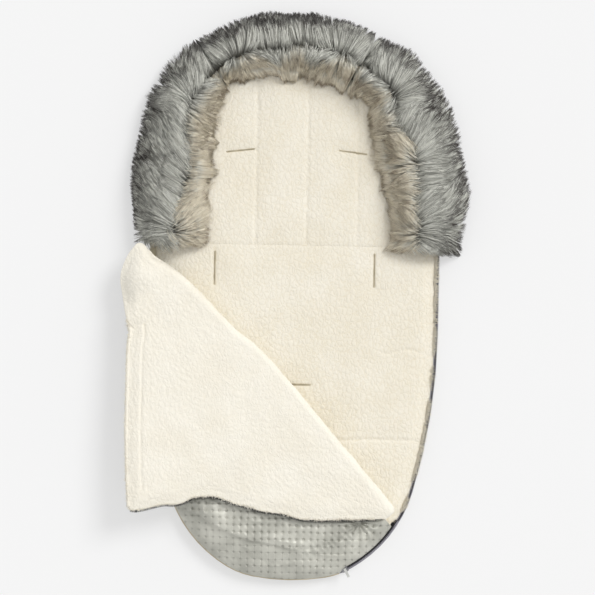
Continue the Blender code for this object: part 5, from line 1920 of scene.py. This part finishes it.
    def reaches(self, place: Array, share: Array, chance: Array, scale: Array) -> tuple[Array, Array, Array]:
        """Roots and tips of hairs.

        Args:
            place: Places along the trim.
            share: Places across it.
            chance: A number from 0 to 1 for each hair.
            scale: Share of the full length.

        Returns:
            The roots, the tips, and 1 or -1 for hair that points outwards or inwards.
        """
        inner, span, turn = self.at(place)
        plan = inner + span * self.spread(place, share)[:, None]
        doubt = self.doubt * np.sin(9173.0 * (chance + place * 31.0))
        side = np.where(share + doubt > self.part_share(place), 1.0, -1.0)
        thin = self.sink(place)
        root_height = self.height(share, self.skin[:12]) - self.root_depth - self.thin_root * thin
        root_height = root_height + self.part_rise * dip(share - self.part_share(place), self.part_width)
        border, *floors = self.root_floor
        root_height = np.maximum(root_height, np.where(share < border, *floors))
        way = self.flow(place, plan, side)
        loose = np.sin(7919.0 * place + 57.0 * chance) > 0.1
        droops = (turn > math.pi / 2.0) & (plan[:, 1] < self.droop_top) & (share > self.droop_share) & loose
        way = np.where(droops[:, None], np.array(self.droop_way), way)
        length = self.length * (self.length_range[0] + self.length_range[1] * chance) * scale
        limit = self.outer_limit[0] + self.outer_limit[1] * chance
        least, wavy, loose_end = self.inner_limit
        over = least + wavy * np.maximum(0.0, self.relief.waves(plan, self.inner_wave)) + loose_end * chance
        here = self.spread(place, share)
        outer, inward = self.spread(place, limit) - here, here - self.spread(place, -over)
        room = np.where(side > 0.0, outer, inward) * self.width
        length = np.where(side > 0.0, length, length * (self.inward_range[0] + self.inward_range[1] * chance))
        forward = np.abs((way * span).sum(axis=1)) / self.width
        forward = np.maximum(forward, self.least_forward)
        length = np.minimum(length, np.maximum(room, self.least_room) / forward)
        tip_plan = plan + way * length[:, None]
        tip_share = self.share_of(place, tip_plan)
        right, left = (low + spread * chance for low, spread in (self.right_lowest, self.left_lowest))
        lowest = np.where(turn < math.pi / 2.0, right, left)
        beyond = tip_plan[:, 1] - self.end_y
        eased = self.end_y - (self.end_y - lowest) * (1.0 - np.exp(beyond / self.ease))
        tip_plan[:, 1] = np.where(beyond < 0.0, eased, tip_plan[:, 1])
        span_of_drop, most, drop = self.end_drop
        past = np.maximum(self.end_y - tip_plan[:, 1], 0.0) / span_of_drop
        tip_height = self.height(tip_share, self.surface) - self.tip_scatter * chance - self.thin_tip * thin
        tip_height = tip_height - np.minimum(past, most) * drop
        border, *floors = self.tip_floor
        tip_height = np.maximum(tip_height, np.where(tip_share < border, *floors))
        roots = np.column_stack([plan, root_height])
        return roots, np.column_stack([tip_plan, tip_height]), side


@dataclass
class FootCover:
    """The part of the cover that stays over the foot end: quilted satin outside, pile inside."""

    outline: BackOutline
    fold: Fold
    relief: Relief
    wardrobe: Wardrobe
    spacing: float = 0.0016
    hidden_spacing: float = 0.0040
    free_edge: tuple = (0.004, 0.016)
    ridge_ends: tuple = ((-0.200, 0.02), (0.030, 0.05))
    ridge_step: float = 0.0032
    ridge_back: tuple = (0.004, 0.055)
    ripple_way: tuple = (0.8, 0.6)
    ripple_stray: tuple = (3.0, 0.02)
    gather_stray: tuple = (2.5, 0.025)
    gather_core: float = 0.006
    broad_stretch: tuple = (1.0, 0.7)
    broad_wave: tuple = (0.024, 1.6)
    small_wave: tuple = (0.011, 0.8)
    rows_stretch: tuple = (0.30, 1.6)
    rows_wave: float = 0.017
    rows_level: float = 0.4
    rows_height: tuple = (1.5, 1.3)
    rows_near: tuple = (0.022, 0.026)
    loop_wave: float = 0.013
    loop_level: float = 0.30
    loop_spot: tuple = (-0.150, -0.352)
    loop_size: tuple = (0.042, 0.020)
    loop_height: float = 5.5
    edge_calm: tuple = (0.30, 0.70, 0.018)
    tucked_depth: tuple = (0.35, 0.65)
    visible_y: float = -0.330
    top_y: float = 0.0620
    seam_setback: float = 0.0006
    zip_inset: float = 0.0060
    zip_start: float = 0.0960
    blend_width: float = 0.0120
    base: float = 0.0016
    rise_start: float = 0.0060
    rise_width: float = 0.0550
    rim: float = 0.0070
    thickness: float = 0.0120
    rim_width: float = 0.0180
    roof_slope: float = 0.04
    roof_rise: float = 0.0070
    pile_share: float = 0.66
    dot_pitch: float = 0.0115
    dot_groove: tuple = (0.0026, 2.0)
    line_groove: tuple = (0.0009, 0.42)
    ridge_height: float = 5.2
    ridge_grooves: tuple = ((0.0036, (0.0040, 2.4)), (0.019, (0.0170, 2.6)))
    shirring_groove: tuple = (0.0024, 1.5)
    shirring_ripple: tuple = (0.011, 0.9)
    gather_folds: float = 12.0
    gather_reach: float = 0.042
    gather_height: float = 2.4
    curl_size: tuple = (0.0075, 0.0095)
    curl_height: float = 0.0008
    shoulder: tuple = (0.34, 0.0085)
    least_pile: tuple = (0.0012, 0.0008)
    wave: float = 0.030
    wave_height: float = 0.0016
    ripple_pitch: float = 0.0016
    border_steps: tuple = (0.00015, 0.0005, 0.0011, 0.0019, 0.0030, 0.0043)
    drawn: tuple = (
        (0.330, 0.0), (0.372, 0.005), (0.402, 0.013), (0.466, 0.018), (0.511, 0.023), (0.551, 0.030),
        (0.583, 0.038), (0.615, 0.042),
    )
    ridge: tuple = ((-0.190, -0.346), (-0.158, -0.362), (-0.134, -0.376), (-0.103, -0.393), (-0.068, -0.405),
                    (-0.035, -0.411), (0.009, -0.421))
    shirring: tuple = ((0.009, -0.421), (0.045, -0.416), (0.072, -0.408), (0.096, -0.392), (0.112, -0.374))
    gather: tuple = (0.1140, -0.3720)

    def own_inset(self, points: Array) -> Array:
        """How far the cover's edge is drawn in at points of the right side."""
        share = smooth((points[:, 0] - self.zip_start) / self.blend_width + 1.0)
        return self.seam_setback + (self.zip_inset - self.seam_setback) * share

    def plan(self) -> Array:
        """Plan points in rows from the foot end."""
        right = self.outline.inside(self.own_inset(self.outline.points))
        left = self.outline.inside(self.seam_setback)
        low = right[0, 1]
        ends = np.array(self.border_steps)
        shown = np.arange(low + 0.0058, self.visible_y, self.spacing)
        hidden = np.arange(self.visible_y, self.top_y, self.hidden_spacing)
        ys = np.concatenate([low + ends, shown, hidden])
        left_x = -np.interp(ys, left[:, 1], left[:, 0])
        right_x = np.interp(ys, right[:, 1], right[:, 0])
        tangent = math.tan(self.fold.direction)
        offset = (self.fold.radius + 0.0004) / math.sin(self.fold.direction)
        fold_x = self.fold.place[0] + (ys - self.fold.place[1]) / tangent - offset
        gap_x, gap_y = fold_x - self.fold.place[0], ys - self.fold.place[1]
        along = gap_x * self.fold.along[0] + gap_y * self.fold.along[1]
        drawn = np.interp(along, *np.array(self.drawn).T)
        right_x = np.minimum(right_x, fold_x + drawn / self.fold.across[0])
        columns = int(0.37 / self.spacing)
        inner = np.linspace(0.024, 0.976, columns)
        shares = np.concatenate([[0.0, 0.004, 0.010, 0.017], inner, [0.983, 0.990, 0.996, 1.0]])
        xs = left_x[:, None] + (right_x - left_x)[:, None] * shares
        return np.stack([xs, np.broadcast_to(ys[:, None], xs.shape)], axis=-1)

    def fold_place(self, plan: Array) -> tuple[Array, Array]:
        """Distances of plan points along and across the fold."""
        gap = plan - np.array(self.fold.place[:2])
        return gap @ self.fold.along[:2], gap @ self.fold.across[:2]

    def layers(self, plan: Array) -> tuple[Array, Array, Array, Array]:
        """Underside, thickness, and distances in from the back's edge and from the cover's own edge."""
        inset = self.outline.project(plan)[0]
        across = self.fold_place(plan)[1]
        base = crown(inset) + self.base
        roof = self.fold.place[2] - 0.001 + np.minimum(self.roof_rise, self.roof_slope * across)
        pocket = roof - self.thickness - base
        under = base + pocket * smooth((inset - self.rise_start) / self.rise_width)
        own = self.own_inset(plan.reshape(-1, 2)).reshape(inset.shape)
        edge = np.where(plan[..., 0] > 0.0, inset - own, inset - self.seam_setback)
        thick = self.rim + (self.thickness - self.rim) * smooth(inset / self.rim_width)
        return under, thick, inset, np.maximum(edge, 0.0)

    def wrinkles(self, plan: Array, edge: Array) -> Array:
        """Pressed dots, ridge, gathers and creases of the satin."""
        along, across = self.fold_place(plan)
        reach = np.interp(along, self.fold.edge[:, 0], self.fold.edge[:, 1], left=0.0)
        free = smooth((across - reach + self.free_edge[0]) / self.free_edge[1])
        free = np.where(along < self.fold.edge[0, 0], 1.0, free)
        bends = np.stack([self.relief.waves(plan, self.wave, layer) for layer in (0, 1)], axis=-1)
        bent = plan + self.wave_height * bends
        cell = lattice_gap(bent, self.dot_pitch)
        height = -groove(np.hypot(cell[..., 0], cell[..., 1]), self.dot_groove)
        height -= groove(cell[..., 0], self.line_groove)
        path = np.array(self.ridge)
        line_y = np.interp(plan[..., 0], path[:, 0], path[:, 1])
        over = plan[..., 1] - line_y
        (left, fade_in), (right, fade_out) = self.ridge_ends
        part = smooth((plan[..., 0] - left) / fade_in) * smooth((right - plan[..., 0]) / fade_out)
        start, length = self.ridge_back
        step = smooth(over / self.ridge_step + 0.5) * (1.0 - smooth((over - start) / length))
        height += part * step * self.ridge_height * MM
        for offset, size in self.ridge_grooves:
            height -= part * groove(over + offset, size)
        seam = line_distance(plan, np.array(self.shirring))
        slant = plan[..., 0] * self.ripple_way[0] + plan[..., 1] * self.ripple_way[1]
        stray, wave = self.ripple_stray
        ripple = np.sin(slant / self.ripple_pitch + stray * self.relief.waves(plan, wave))
        height += groove(seam, self.shirring_ripple) * ripple - groove(seam, self.shirring_groove)
        gap = plan - np.array(self.gather)
        far = np.linalg.norm(gap, axis=-1)
        turn = np.arctan2(gap[..., 1], gap[..., 0])
        stray, wave = self.gather_stray
        fan = np.sin(turn * self.gather_folds + stray * self.relief.waves(plan, wave))
        height += fan * dip(far, self.gather_reach) * smooth(far / self.gather_core) * self.gather_height * MM
        wave, rise = self.broad_wave
        height += self.relief.waves(plan * self.broad_stretch, wave) * rise * MM
        wave, rise = self.small_wave
        height += self.relief.waves(plan, wave, 1) * rise * MM
        rows = 1.0 - np.abs(self.relief.waves(plan * self.rows_stretch + 0.5, self.rows_wave))
        everywhere, extra = self.rows_height
        offset, width = self.rows_near
        height += (rows ** 3 - self.rows_level) * (everywhere + extra * part * dip(over + offset, width)) * MM
        loops = np.abs(self.relief.waves(plan, self.loop_wave, 1))
        away = (plan - np.array(self.loop_spot)) / np.array(self.loop_size)
        corner = np.exp(-(away[..., 0] ** 2) - away[..., 1] ** 2)
        height += (self.loop_level - loops) * corner * self.loop_height * MM
        least, more, width = self.edge_calm
        height = height * (least + more * smooth(edge / width))
        least, more = self.tucked_depth
        return np.where(height > 0.0, height * free, height * (least + more * free))

    def build(self) -> None:
        """Build the satin and the pile under it."""
        plan = self.plan()
        under, thick, inset, edge = self.layers(plan)
        least, width = self.shoulder
        shoulder = least + (1.0 - least) * dome(edge / width)
        full = thick * shoulder
        top = under + full + self.wrinkles(plan, edge)
        low = under + full * (self.pile_share + 0.05)
        top = np.maximum(top, low + 0.0010 * np.clip(shoulder, 0.6, 1.0))
        satin = thick_sheet("foot_cover_outer_cloth", with_height(plan, top), with_height(plan, low))
        pile_top = under + full * self.pile_share
        curls = (self.relief.curls(plan, *self.curl_size) - 0.6) * self.curl_height * smooth(inset / 0.012)
        pile_low = np.minimum(under - curls, pile_top - self.least_pile[0])
        pile_low = np.maximum(pile_low, crown(inset) + self.base)
        pile_top = np.maximum(pile_top, pile_low + self.least_pile[1])
        faces = [with_height(plan, height)[::2, ::2] for height in (pile_top, pile_low)]
        pile = thick_sheet("foot_cover_pile", *faces)
        for piece, finish, slot, nodes in (
            (satin, "outer_cloth", "outer_shell", ("foot_cover_shell",)),
            (pile, "back_pile", "pile_lining", ("foot_cover_lining", "foot_cover_wadding")),
        ):
            set_vectors(piece, CLOTH_ATTRIBUTE, own_points(piece) * (1.0, 1.0, 0.0))
            self.wardrobe.finish(piece, finish, slot, Body.BACK, nodes, 0.3)


@dataclass
class BunchedCorner:
    """The corner of the cover that bunches up beside the head end of the fold and turns with it."""

    fold: Fold
    relief: Relief
    wardrobe: Wardrobe
    lap: float = 0.5110
    spacing: float = 0.0021
    columns: int = 64
    cloth_lap: float = 0.0060
    cloth_gap: float = 0.0002
    cloth_thickness: float = 0.0008
    puffs: tuple = ((0.055, 0.9), (0.022, 0.5))
    crease: tuple = ((0.536, 0.124), (0.556, 0.100))
    crease_groove: tuple = (0.003, 2.2)
    cap: float = 0.0030
    smoothing: int = 4
    end_rows: tuple = (0.6170, 0.6180, 0.6188, 0.6195, 0.6199, 0.6202)
    outer: tuple = (
        (0.5110, 0.1300), (0.5230, 0.1318), (0.5340, 0.1304), (0.5538, 0.1198), (0.5713, 0.1092),
        (0.5881, 0.0995), (0.5999, 0.0893), (0.6088, 0.0757), (0.6150, 0.0630), (0.6185, 0.0490),
        (0.6203, 0.0390),
    )
    inner: tuple = ((0.5362, 0.0136), (0.5479, 0.0167), (0.5664, 0.0218), (0.5866, 0.0280), (0.6032, 0.0287),
                    (0.6150, 0.0300), (0.6192, 0.0340), (0.6203, 0.0370))

    def build(self) -> None:
        """Build the corner's pile, fill it, and build the outer cloth under it."""
        fold = self.fold
        last = fold.length
        rows = np.concatenate([
            np.arange(self.lap, last - 0.001, self.spacing), [last - 0.0002, last + 0.0003],
            np.arange(last + 0.002, 0.6160, self.spacing), self.end_rows,
        ])
        outer, inner = np.array(self.outer), np.array(self.inner)
        high = np.interp(rows, outer[:, 0], outer[:, 1])
        past_fold = np.interp(rows, inner[:, 0], inner[:, 1])
        low = np.where(rows < last, fold.bend(rows) - fold.radius - 0.0004, past_fold)
        for _ in range(self.smoothing):
            high[1:-1] = (high[:-2] + high[1:-1] * 2.0 + high[2:]) / 4.0
        along = np.broadcast_to(rows[:, None], (len(rows), self.columns))
        shares = (0.5 - 0.5 * np.cos(np.linspace(0.0, math.pi, self.columns))) * 0.6
        shares = shares + 0.4 * np.linspace(0.0, 1.0, self.columns)
        across = low[:, None] + (high - low)[:, None] * shares
        flat = np.stack([along, across], axis=-1)
        free = line_distance(flat, np.concatenate([np.stack([rows, high], axis=1), [[rows[-1], low[-1]]]]))
        past = smooth((along - last) / 0.030)
        half = fold.half(free)
        half = half + 0.0062 * past * smooth(free / 0.030)
        middle = fold.middle - past * (0.003 + 0.008 * smooth((across - 0.05) / 0.07))
        swell = smooth((across - low[:, None] - fold.radius) / 0.030)
        side = fold.radius * dome((across - low[:, None]) / fold.radius)
        top = side + (middle + half - fold.radius) * swell
        top = middle + (top - middle) * np.where(top > middle, dome(free / (0.0045 + 0.0115 * past)), 1.0)
        turn = -fold.direction
        spun = flat @ np.array([[math.cos(turn), -math.sin(turn)], [math.sin(turn), math.cos(turn)]])
        rise = smooth(free / 0.012)
        bumps = (self.relief.curls(spun, 0.0078, 0.0098) - 0.7) * 0.0007 * smooth(free / 0.005)
        bumps += self.relief.puffs(spun, self.puffs, rise)
        bumps += self.relief.waves(spun, 0.033, 1) * 0.9 * MM * past * rise
        crease = groove(line_distance(flat, np.array(self.crease)), self.crease_groove)
        top = top + bumps * smooth((across - low[:, None]) / 0.010) - crease * past
        lap = -0.0010 + 0.0016 * smooth((along - self.lap) / 0.012)
        top = top + lap * (1.0 - past)
        bottom = np.maximum(middle - half * dome(free / 0.006), middle - 0.0058)
        bottom = np.where(along < last, top - 0.0014, np.minimum(bottom, top - 0.0012))
        shift = np.zeros_like(across)
        over = fold.tilted(along, shift, across, top)
        under = fold.tilted(along, shift, across, bottom)
        piece = thick_sheet("bunched_corner", over, under)
        lay_cloth(piece, spun)
        hold = (past * smooth(free / 0.012)).reshape(-1)
        Filling(cap=self.cap).swell(piece, np.concatenate([hold, hold * 0.0]))
        self.wardrobe.finish(piece, "cover_pile", "pile_lining", Body.FLAP, ("fold_gusset",), 0.5)
        kept = rows >= last - self.cloth_lap
        place = (along[kept], shift[kept], across[kept])
        base = bottom[kept] - self.cloth_gap
        cloth = thick_sheet("bunched_corner_cloth", fold.tilted(*place, base),
                            fold.tilted(*place, base - self.cloth_thickness))
        lay_cloth(cloth, spun[kept])
        self.wardrobe.finish(cloth, "outer_cloth", "outer_shell", Body.FLAP, ("fold_gusset",), 0.2)


@dataclass
class ZipAndTrim:
    """Teeth of the open zip, its tapes, stops and slider, the rolled hem and the loose pile at the edges."""

    outline: BackOutline
    fold: Fold
    relief: Relief
    wardrobe: Wardrobe
    pitch: float = 0.0030
    stop_angle: float = math.radians(-64.6)
    back_end: float = 0.0640
    foot_end: float = -0.3735
    back_insets: tuple = (0.0002, 0.0027)
    foot_insets: tuple = (0.0026, 0.0066)
    tooth_low: float = 0.0016
    tooth_height: float = 0.0022
    hem_radius: float = 0.0033
    hem_end: float = 0.0130
    hem_step: float = 0.0022
    hem_sides: int = 12
    tooth_gap: float = 0.0011
    flap_start: float = 0.022
    flap_tooth: tuple = (0.0009, 0.0017, 0.0009)
    flap_tooth_place: tuple = (0.0006, 0.0063)
    foot_tape_section: tuple = ((0.0040, 0.0004), (0.0090, 0.0004), (0.0090, 0.0013), (0.0040, 0.0013))
    flap_tape_section: tuple = ((-0.0002, 0.0058), (0.0090, 0.0058), (0.0090, 0.0067), (-0.0002, 0.0067))
    fuzz_spread: tuple = (0.35, 0.35, 0.20)
    fuzz_curl: float = 0.25
    fuzz_places: tuple = (0.0, 0.36, 0.70, 1.0)
    fuzz_taper: tuple = (1.0, 0.95, 0.65)
    fuzz_radius: tuple = (0.00042, 0.00068)
    cover_fuzz: float = 0.0042
    back_fuzz: float = 0.0074
    node_finishes: tuple = (
        ("zip_tape_back", "edge_tape", "zip_tape"),
        ("side_seam", "slot_tape", "seam_tape"), ("zip_bottom_stop", "zip_metal", "zip_metal"),
        ("zip_top_stop_back", "zip_coil", "zip_metal"), ("zip_top_stop_flap", "zip_coil", "zip_metal"),
        ("zip_slider", "zip_metal", "zip_metal"), ("zip_puller", "tab_cord", "zip_puller"),
    )

    def build(self) -> None:
        """Build the trim and dress the carried-over pieces."""
        points, normals = self.outline.run(self.stop_angle, self.back_end, self.pitch)
        for name, own, finish in (("zip_teeth_back", points[:, 1] > self.foot_end, "zip_coil"),
                                  ("zip_teeth_back_foot", points[:, 1] <= self.foot_end, "edge_tape")):
            self.teeth(name, "zip_coil_back", points[own], normals[own], self.back_insets, Body.BACK, finish)
        points, normals = self.outline.run(self.stop_angle, self.foot_end, self.pitch)
        self.teeth("zip_teeth_foot", "zip_coil_foot", points, normals, self.foot_insets, Body.BACK,
                   "zip_coil")
        self.foot_tape()
        self.flap_teeth()
        self.hem()
        self.edge_pile()
        for name, finish, slot in self.node_finishes:
            self.wardrobe.dress(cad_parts[name], finish, slot)
        LOG.info("carried over: %s", [name for name, _, _ in self.node_finishes])

    def tooth_mesh(self, name: str, centres: Array, along: Array, across: Array, up: Array,
                   half: tuple) -> bpy.types.Object:
        """Many small rounded teeth as one mesh.

        Args:
            name: Name of the piece.
            centres: Middle of each tooth.
            along: Unit vectors along the zip.
            across: Unit vectors across it.
            up: Unit vectors out of the tape.
            half: Half sizes along, across and up.

        Returns:
            The piece.
        """
        tooth, faces = self.one_tooth()
        points = centres[:, None]
        for axis, way in enumerate((along, across, up)):
            points = points + way[:, None] * (tooth[None, :, axis:axis + 1] * half[axis])
        number = faces[None] + len(tooth) * np.arange(len(centres))[:, None, None]
        return add_piece(name, points.reshape(-1, 3), number.reshape(-1, faces.shape[1]).tolist())

    @staticmethod
    def one_tooth() -> tuple[Array, Array]:
        """One tooth, shaped from a block whose top is drawn up and narrowed.

        Returns:
            Its points, from -1 to 1, and its faces.
        """
        bpy.ops.object.select_all(action="DESELECT")
        bpy.ops.mesh.primitive_cube_add(size=2.0)
        block = bpy.context.object
        for vertex in block.data.vertices:
            vertex.co.z = min(vertex.co.z, TOOTH_SHOULDER)
        bpy.ops.object.mode_set(mode="EDIT")
        bpy.ops.mesh.select_mode(type="FACE")
        bpy.ops.mesh.select_all(action="DESELECT")
        bpy.ops.object.mode_set(mode="OBJECT")
        for face in block.data.polygons:
            face.select = face.normal.z > 0.5
        bpy.ops.object.mode_set(mode="EDIT")
        bpy.ops.mesh.extrude_region_move(TRANSFORM_OT_translate={"value": (0.0, 0.0, 1.0 - TOOTH_SHOULDER)})
        bpy.ops.transform.resize(value=(TOOTH_TOP_SHARE, TOOTH_TOP_SHARE, 1.0))
        bpy.ops.object.mode_set(mode="OBJECT")
        points = own_points(block)
        faces = np.array([list(face.vertices) for face in block.data.polygons])
        bpy.data.objects.remove(block, do_unlink=True)
        return points, faces

    def teeth(self, name: str, node: str, points: Array, normals: Array, insets: tuple, body: Body,
              finish: str) -> None:
        """Teeth along the back's edge between two insets."""
        middle = (insets[0] + insets[1]) / 2.0
        half = ((self.pitch - self.tooth_gap) / 2.0, (insets[1] - insets[0]) / 2.0, self.tooth_height / 2.0)
        plan = points - normals * middle
        height = crown(np.full(len(plan), middle)) + self.tooth_low + half[2]
        centres = np.column_stack([plan, height])
        flat = np.zeros(len(plan))
        along = np.column_stack([-normals[:, 1], normals[:, 0], flat])
        across = np.column_stack([normals, flat])
        up = np.column_stack([flat, flat, flat + 1.0])
        piece = self.tooth_mesh(name, centres, along, across, up, half)
        self.wardrobe.finish(piece, finish, "zip_tape", body, (node,))

    def foot_tape(self) -> None:
        """The narrow tape that carries the teeth of the foot cover."""
        points, normals = self.outline.run(self.stop_angle, self.foot_end - 0.003, 0.004)
        rings = []
        for point, normal in zip(points, normals):
            ring = []
            for inset, rise in self.foot_tape_section:
                ring.append([*(point - normal * inset), float(crown(np.array(inset))) + rise])
            rings.append(np.array(ring))
        piece = lofted("zip_tape_foot_end", rings)
        self.wardrobe.finish(piece, "zip_tape", "zip_tape", Body.BACK, ("zip_tape_foot",))

    def flap_run(self, start: float, end: float, pitch: float) -> tuple[Array, Array]:
        """Places along the turned-back part's edge in the fold's frame.

        Args:
            start: Where the run starts along the fold.
            end: Where it ends.
            pitch: Distance between places.

        Returns:
            The places and their outward normals.
        """
        edge = self.fold.edge
        lengths = path_lengths(edge)
        low, high = np.interp((start, end), edge[:, 0], lengths)
        places = np.arange(low, high, pitch)
        points = read_plan(places, lengths, edge)
        normals = read_plan(places, lengths, self.fold.edge_normal)
        return points, unit(normals)

    def in_fold(self, plan: Array, height: Array) -> Array:
        """Places of points of the turned-back part."""
        return self.fold.tilted(plan[..., 0], np.zeros(plan.shape[:-1]), plan[..., 1], height)

    def directions(self, plan: Array) -> Array:
        """Directions of vectors that lie in the turned-back part."""
        return plan[..., :1] * self.fold.along + plan[..., 1:] * self.fold.leaf

    def flap_teeth(self) -> None:
        """Teeth that stand out under the pile's edge along the zip side."""
        points, normals = self.flap_run(self.flap_start, self.fold.corner - 0.004, self.pitch)
        self.flap_tape(points, normals)
        out, height = self.flap_tooth_place
        centres = self.in_fold(points + normals * out, np.full(len(points), height))
        tangent = np.stack([normals[:, 1], -normals[:, 0]], axis=1)
        up = np.tile(self.fold.out, (len(points), 1))
        piece = self.tooth_mesh("zip_teeth_flap", centres, self.directions(tangent),
                                self.directions(normals), up,
                                self.flap_tooth)
        self.wardrobe.finish(piece, "zip_coil", "zip_tape", Body.FLAP, ("zip_coil_flap",))

    def flap_tape(self, points: Array, normals: Array) -> None:
        """The tape that carries the turned-back part's teeth."""
        rings = []
        for point, normal in zip(points, normals):
            rings.append(np.array([self.in_fold(point - normal * inset, np.array(height))
                                   for inset, height in self.flap_tape_section]))
        piece = lofted("zip_tape_flap_edge", rings)
        self.wardrobe.finish(piece, "zip_tape", "zip_tape", Body.FLAP, ("zip_tape_flap",))

    def hem(self) -> None:
        """The rolled hem from the zip's end to the bunched corner."""
        points, normals = self.flap_run(self.fold.corner + 0.004, self.fold.length - self.hem_end,
                                        self.hem_step)
        rings = []
        for point, normal in zip(points, normals):
            wave = self.relief.waves(point, 0.007) * 0.0005
            radius = self.hem_radius + wave
            middle = point - normal * (self.hem_radius - 0.0004)
            ring = []
            for step in range(self.hem_sides):
                turn = math.tau * step / self.hem_sides
                place = middle + normal * (radius * math.cos(turn))
                ring.append(self.in_fold(place, np.array(self.fold.middle + radius * math.sin(turn))))
            rings.append(np.array(ring))
        piece = lofted("cover_hem_roll", rings)
        set_vectors(piece, CLOTH_ATTRIBUTE, own_points(piece))
        self.wardrobe.finish(piece, "cover_pile", "pile_lining", Body.FLAP, ("flap_hem_binding",))

    def fuzz(self, name: str, roots: Array, ways: Array, seed: int, body: Body, finish: str,
             length: float) -> None:
        """Loose pile fibres at an edge.

        Args:
            name: Name of the piece.
            roots: Where the fibres start.
            ways: Which way they point.
            seed: Number that their variation comes from.
            body: Body that they ride.
            finish: Their finish.
            length: Their usual length.
        """
        random = np.random.default_rng(seed)
        count = len(roots)
        way = unit(ways + random.standard_normal((count, 3)) * self.fuzz_spread)
        reach = length * random.uniform(0.55, 1.25, count)
        curl = random.standard_normal((count, 3)) * self.fuzz_curl
        centres = np.empty((count, 4, 3))
        for number, part in enumerate(self.fuzz_places):
            centres[:, number] = roots + (way * part + curl * part * (1.0 - part) * 2.0) * reach[:, None]
        radii = random.uniform(*self.fuzz_radius, count)[:, None] * np.array(self.fuzz_taper)
        piece = add_strands(name, centres, radii, np.zeros((count, 4, 3)))
        set_vectors(piece, CLOTH_ATTRIBUTE, own_points(piece))
        self.wardrobe.finish(piece, finish, "pile_lining", body)

    def edge_pile(self) -> None:
        """Loose pile along the turned-back part's free edge and along the back's zip."""
        random = np.random.default_rng(71)
        points, normals = self.flap_run(self.flap_start, self.fold.length - 0.002, 0.00040)
        zip_side = smooth((self.fold.corner - points[:, 0]) / 0.006)
        inset = random.uniform(0.0010, 0.0048, len(points)) + 0.0006 * zip_side
        height = self.fold.middle + random.uniform(-0.0010, 0.0030, len(points)) + 0.0008 * zip_side
        height = np.maximum(height, np.where(zip_side > 0.5, self.fold.tape_high + 0.0002, 0.004))
        kept = random.random(len(points)) > zip_side * (0.45 + 0.35 * self.relief.waves(points, 0.015))
        roots = self.in_fold(points - normals * inset[:, None], height)[kept]
        ways = (self.directions(normals) + self.fold.out * 0.35)[kept]
        self.fuzz("cover_edge_pile", roots, ways, 72, Body.FLAP, "cover_pile", self.cover_fuzz)
        points, normals = self.outline.run(math.radians(-29.0), 0.078, 0.00022)
        inset = random.uniform(0.0040, 0.0078, len(points))
        plan = points - normals * inset[:, None]
        thin = self.relief.waves(points, 0.020) + random.uniform(-0.5, 0.5, len(points)) > -0.22
        roots = np.column_stack([plan, crown(inset) + 0.0004])[thin]
        ways = np.column_stack([normals, np.full(len(normals), 0.55)])[thin]
        self.fuzz("back_edge_pile", roots, ways, 73, Body.BACK, "back_pile", self.back_fuzz)


def main() -> None:
    """Build the footmuff round its frame."""
    logging.basicConfig(level=logging.INFO, format="%(name)s: %(message)s")
    StudioView().build()
    wardrobe = Wardrobe()
    outline = BackOutline()
    PaddedBack(outline, Relief(11), wardrobe).build()
    fold = Fold()
    FootCover(outline, fold, Relief(37), wardrobe).build()
    TurnedCover(fold, Relief(23), wardrobe).build()
    BunchedCorner(fold, Relief(23), wardrobe).build()
    FurTrim(outline, Relief(53), wardrobe).build()
    ZipAndTrim(outline, fold, Relief(61), wardrobe).build()
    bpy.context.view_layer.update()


if __name__ == "__main__":
    main()
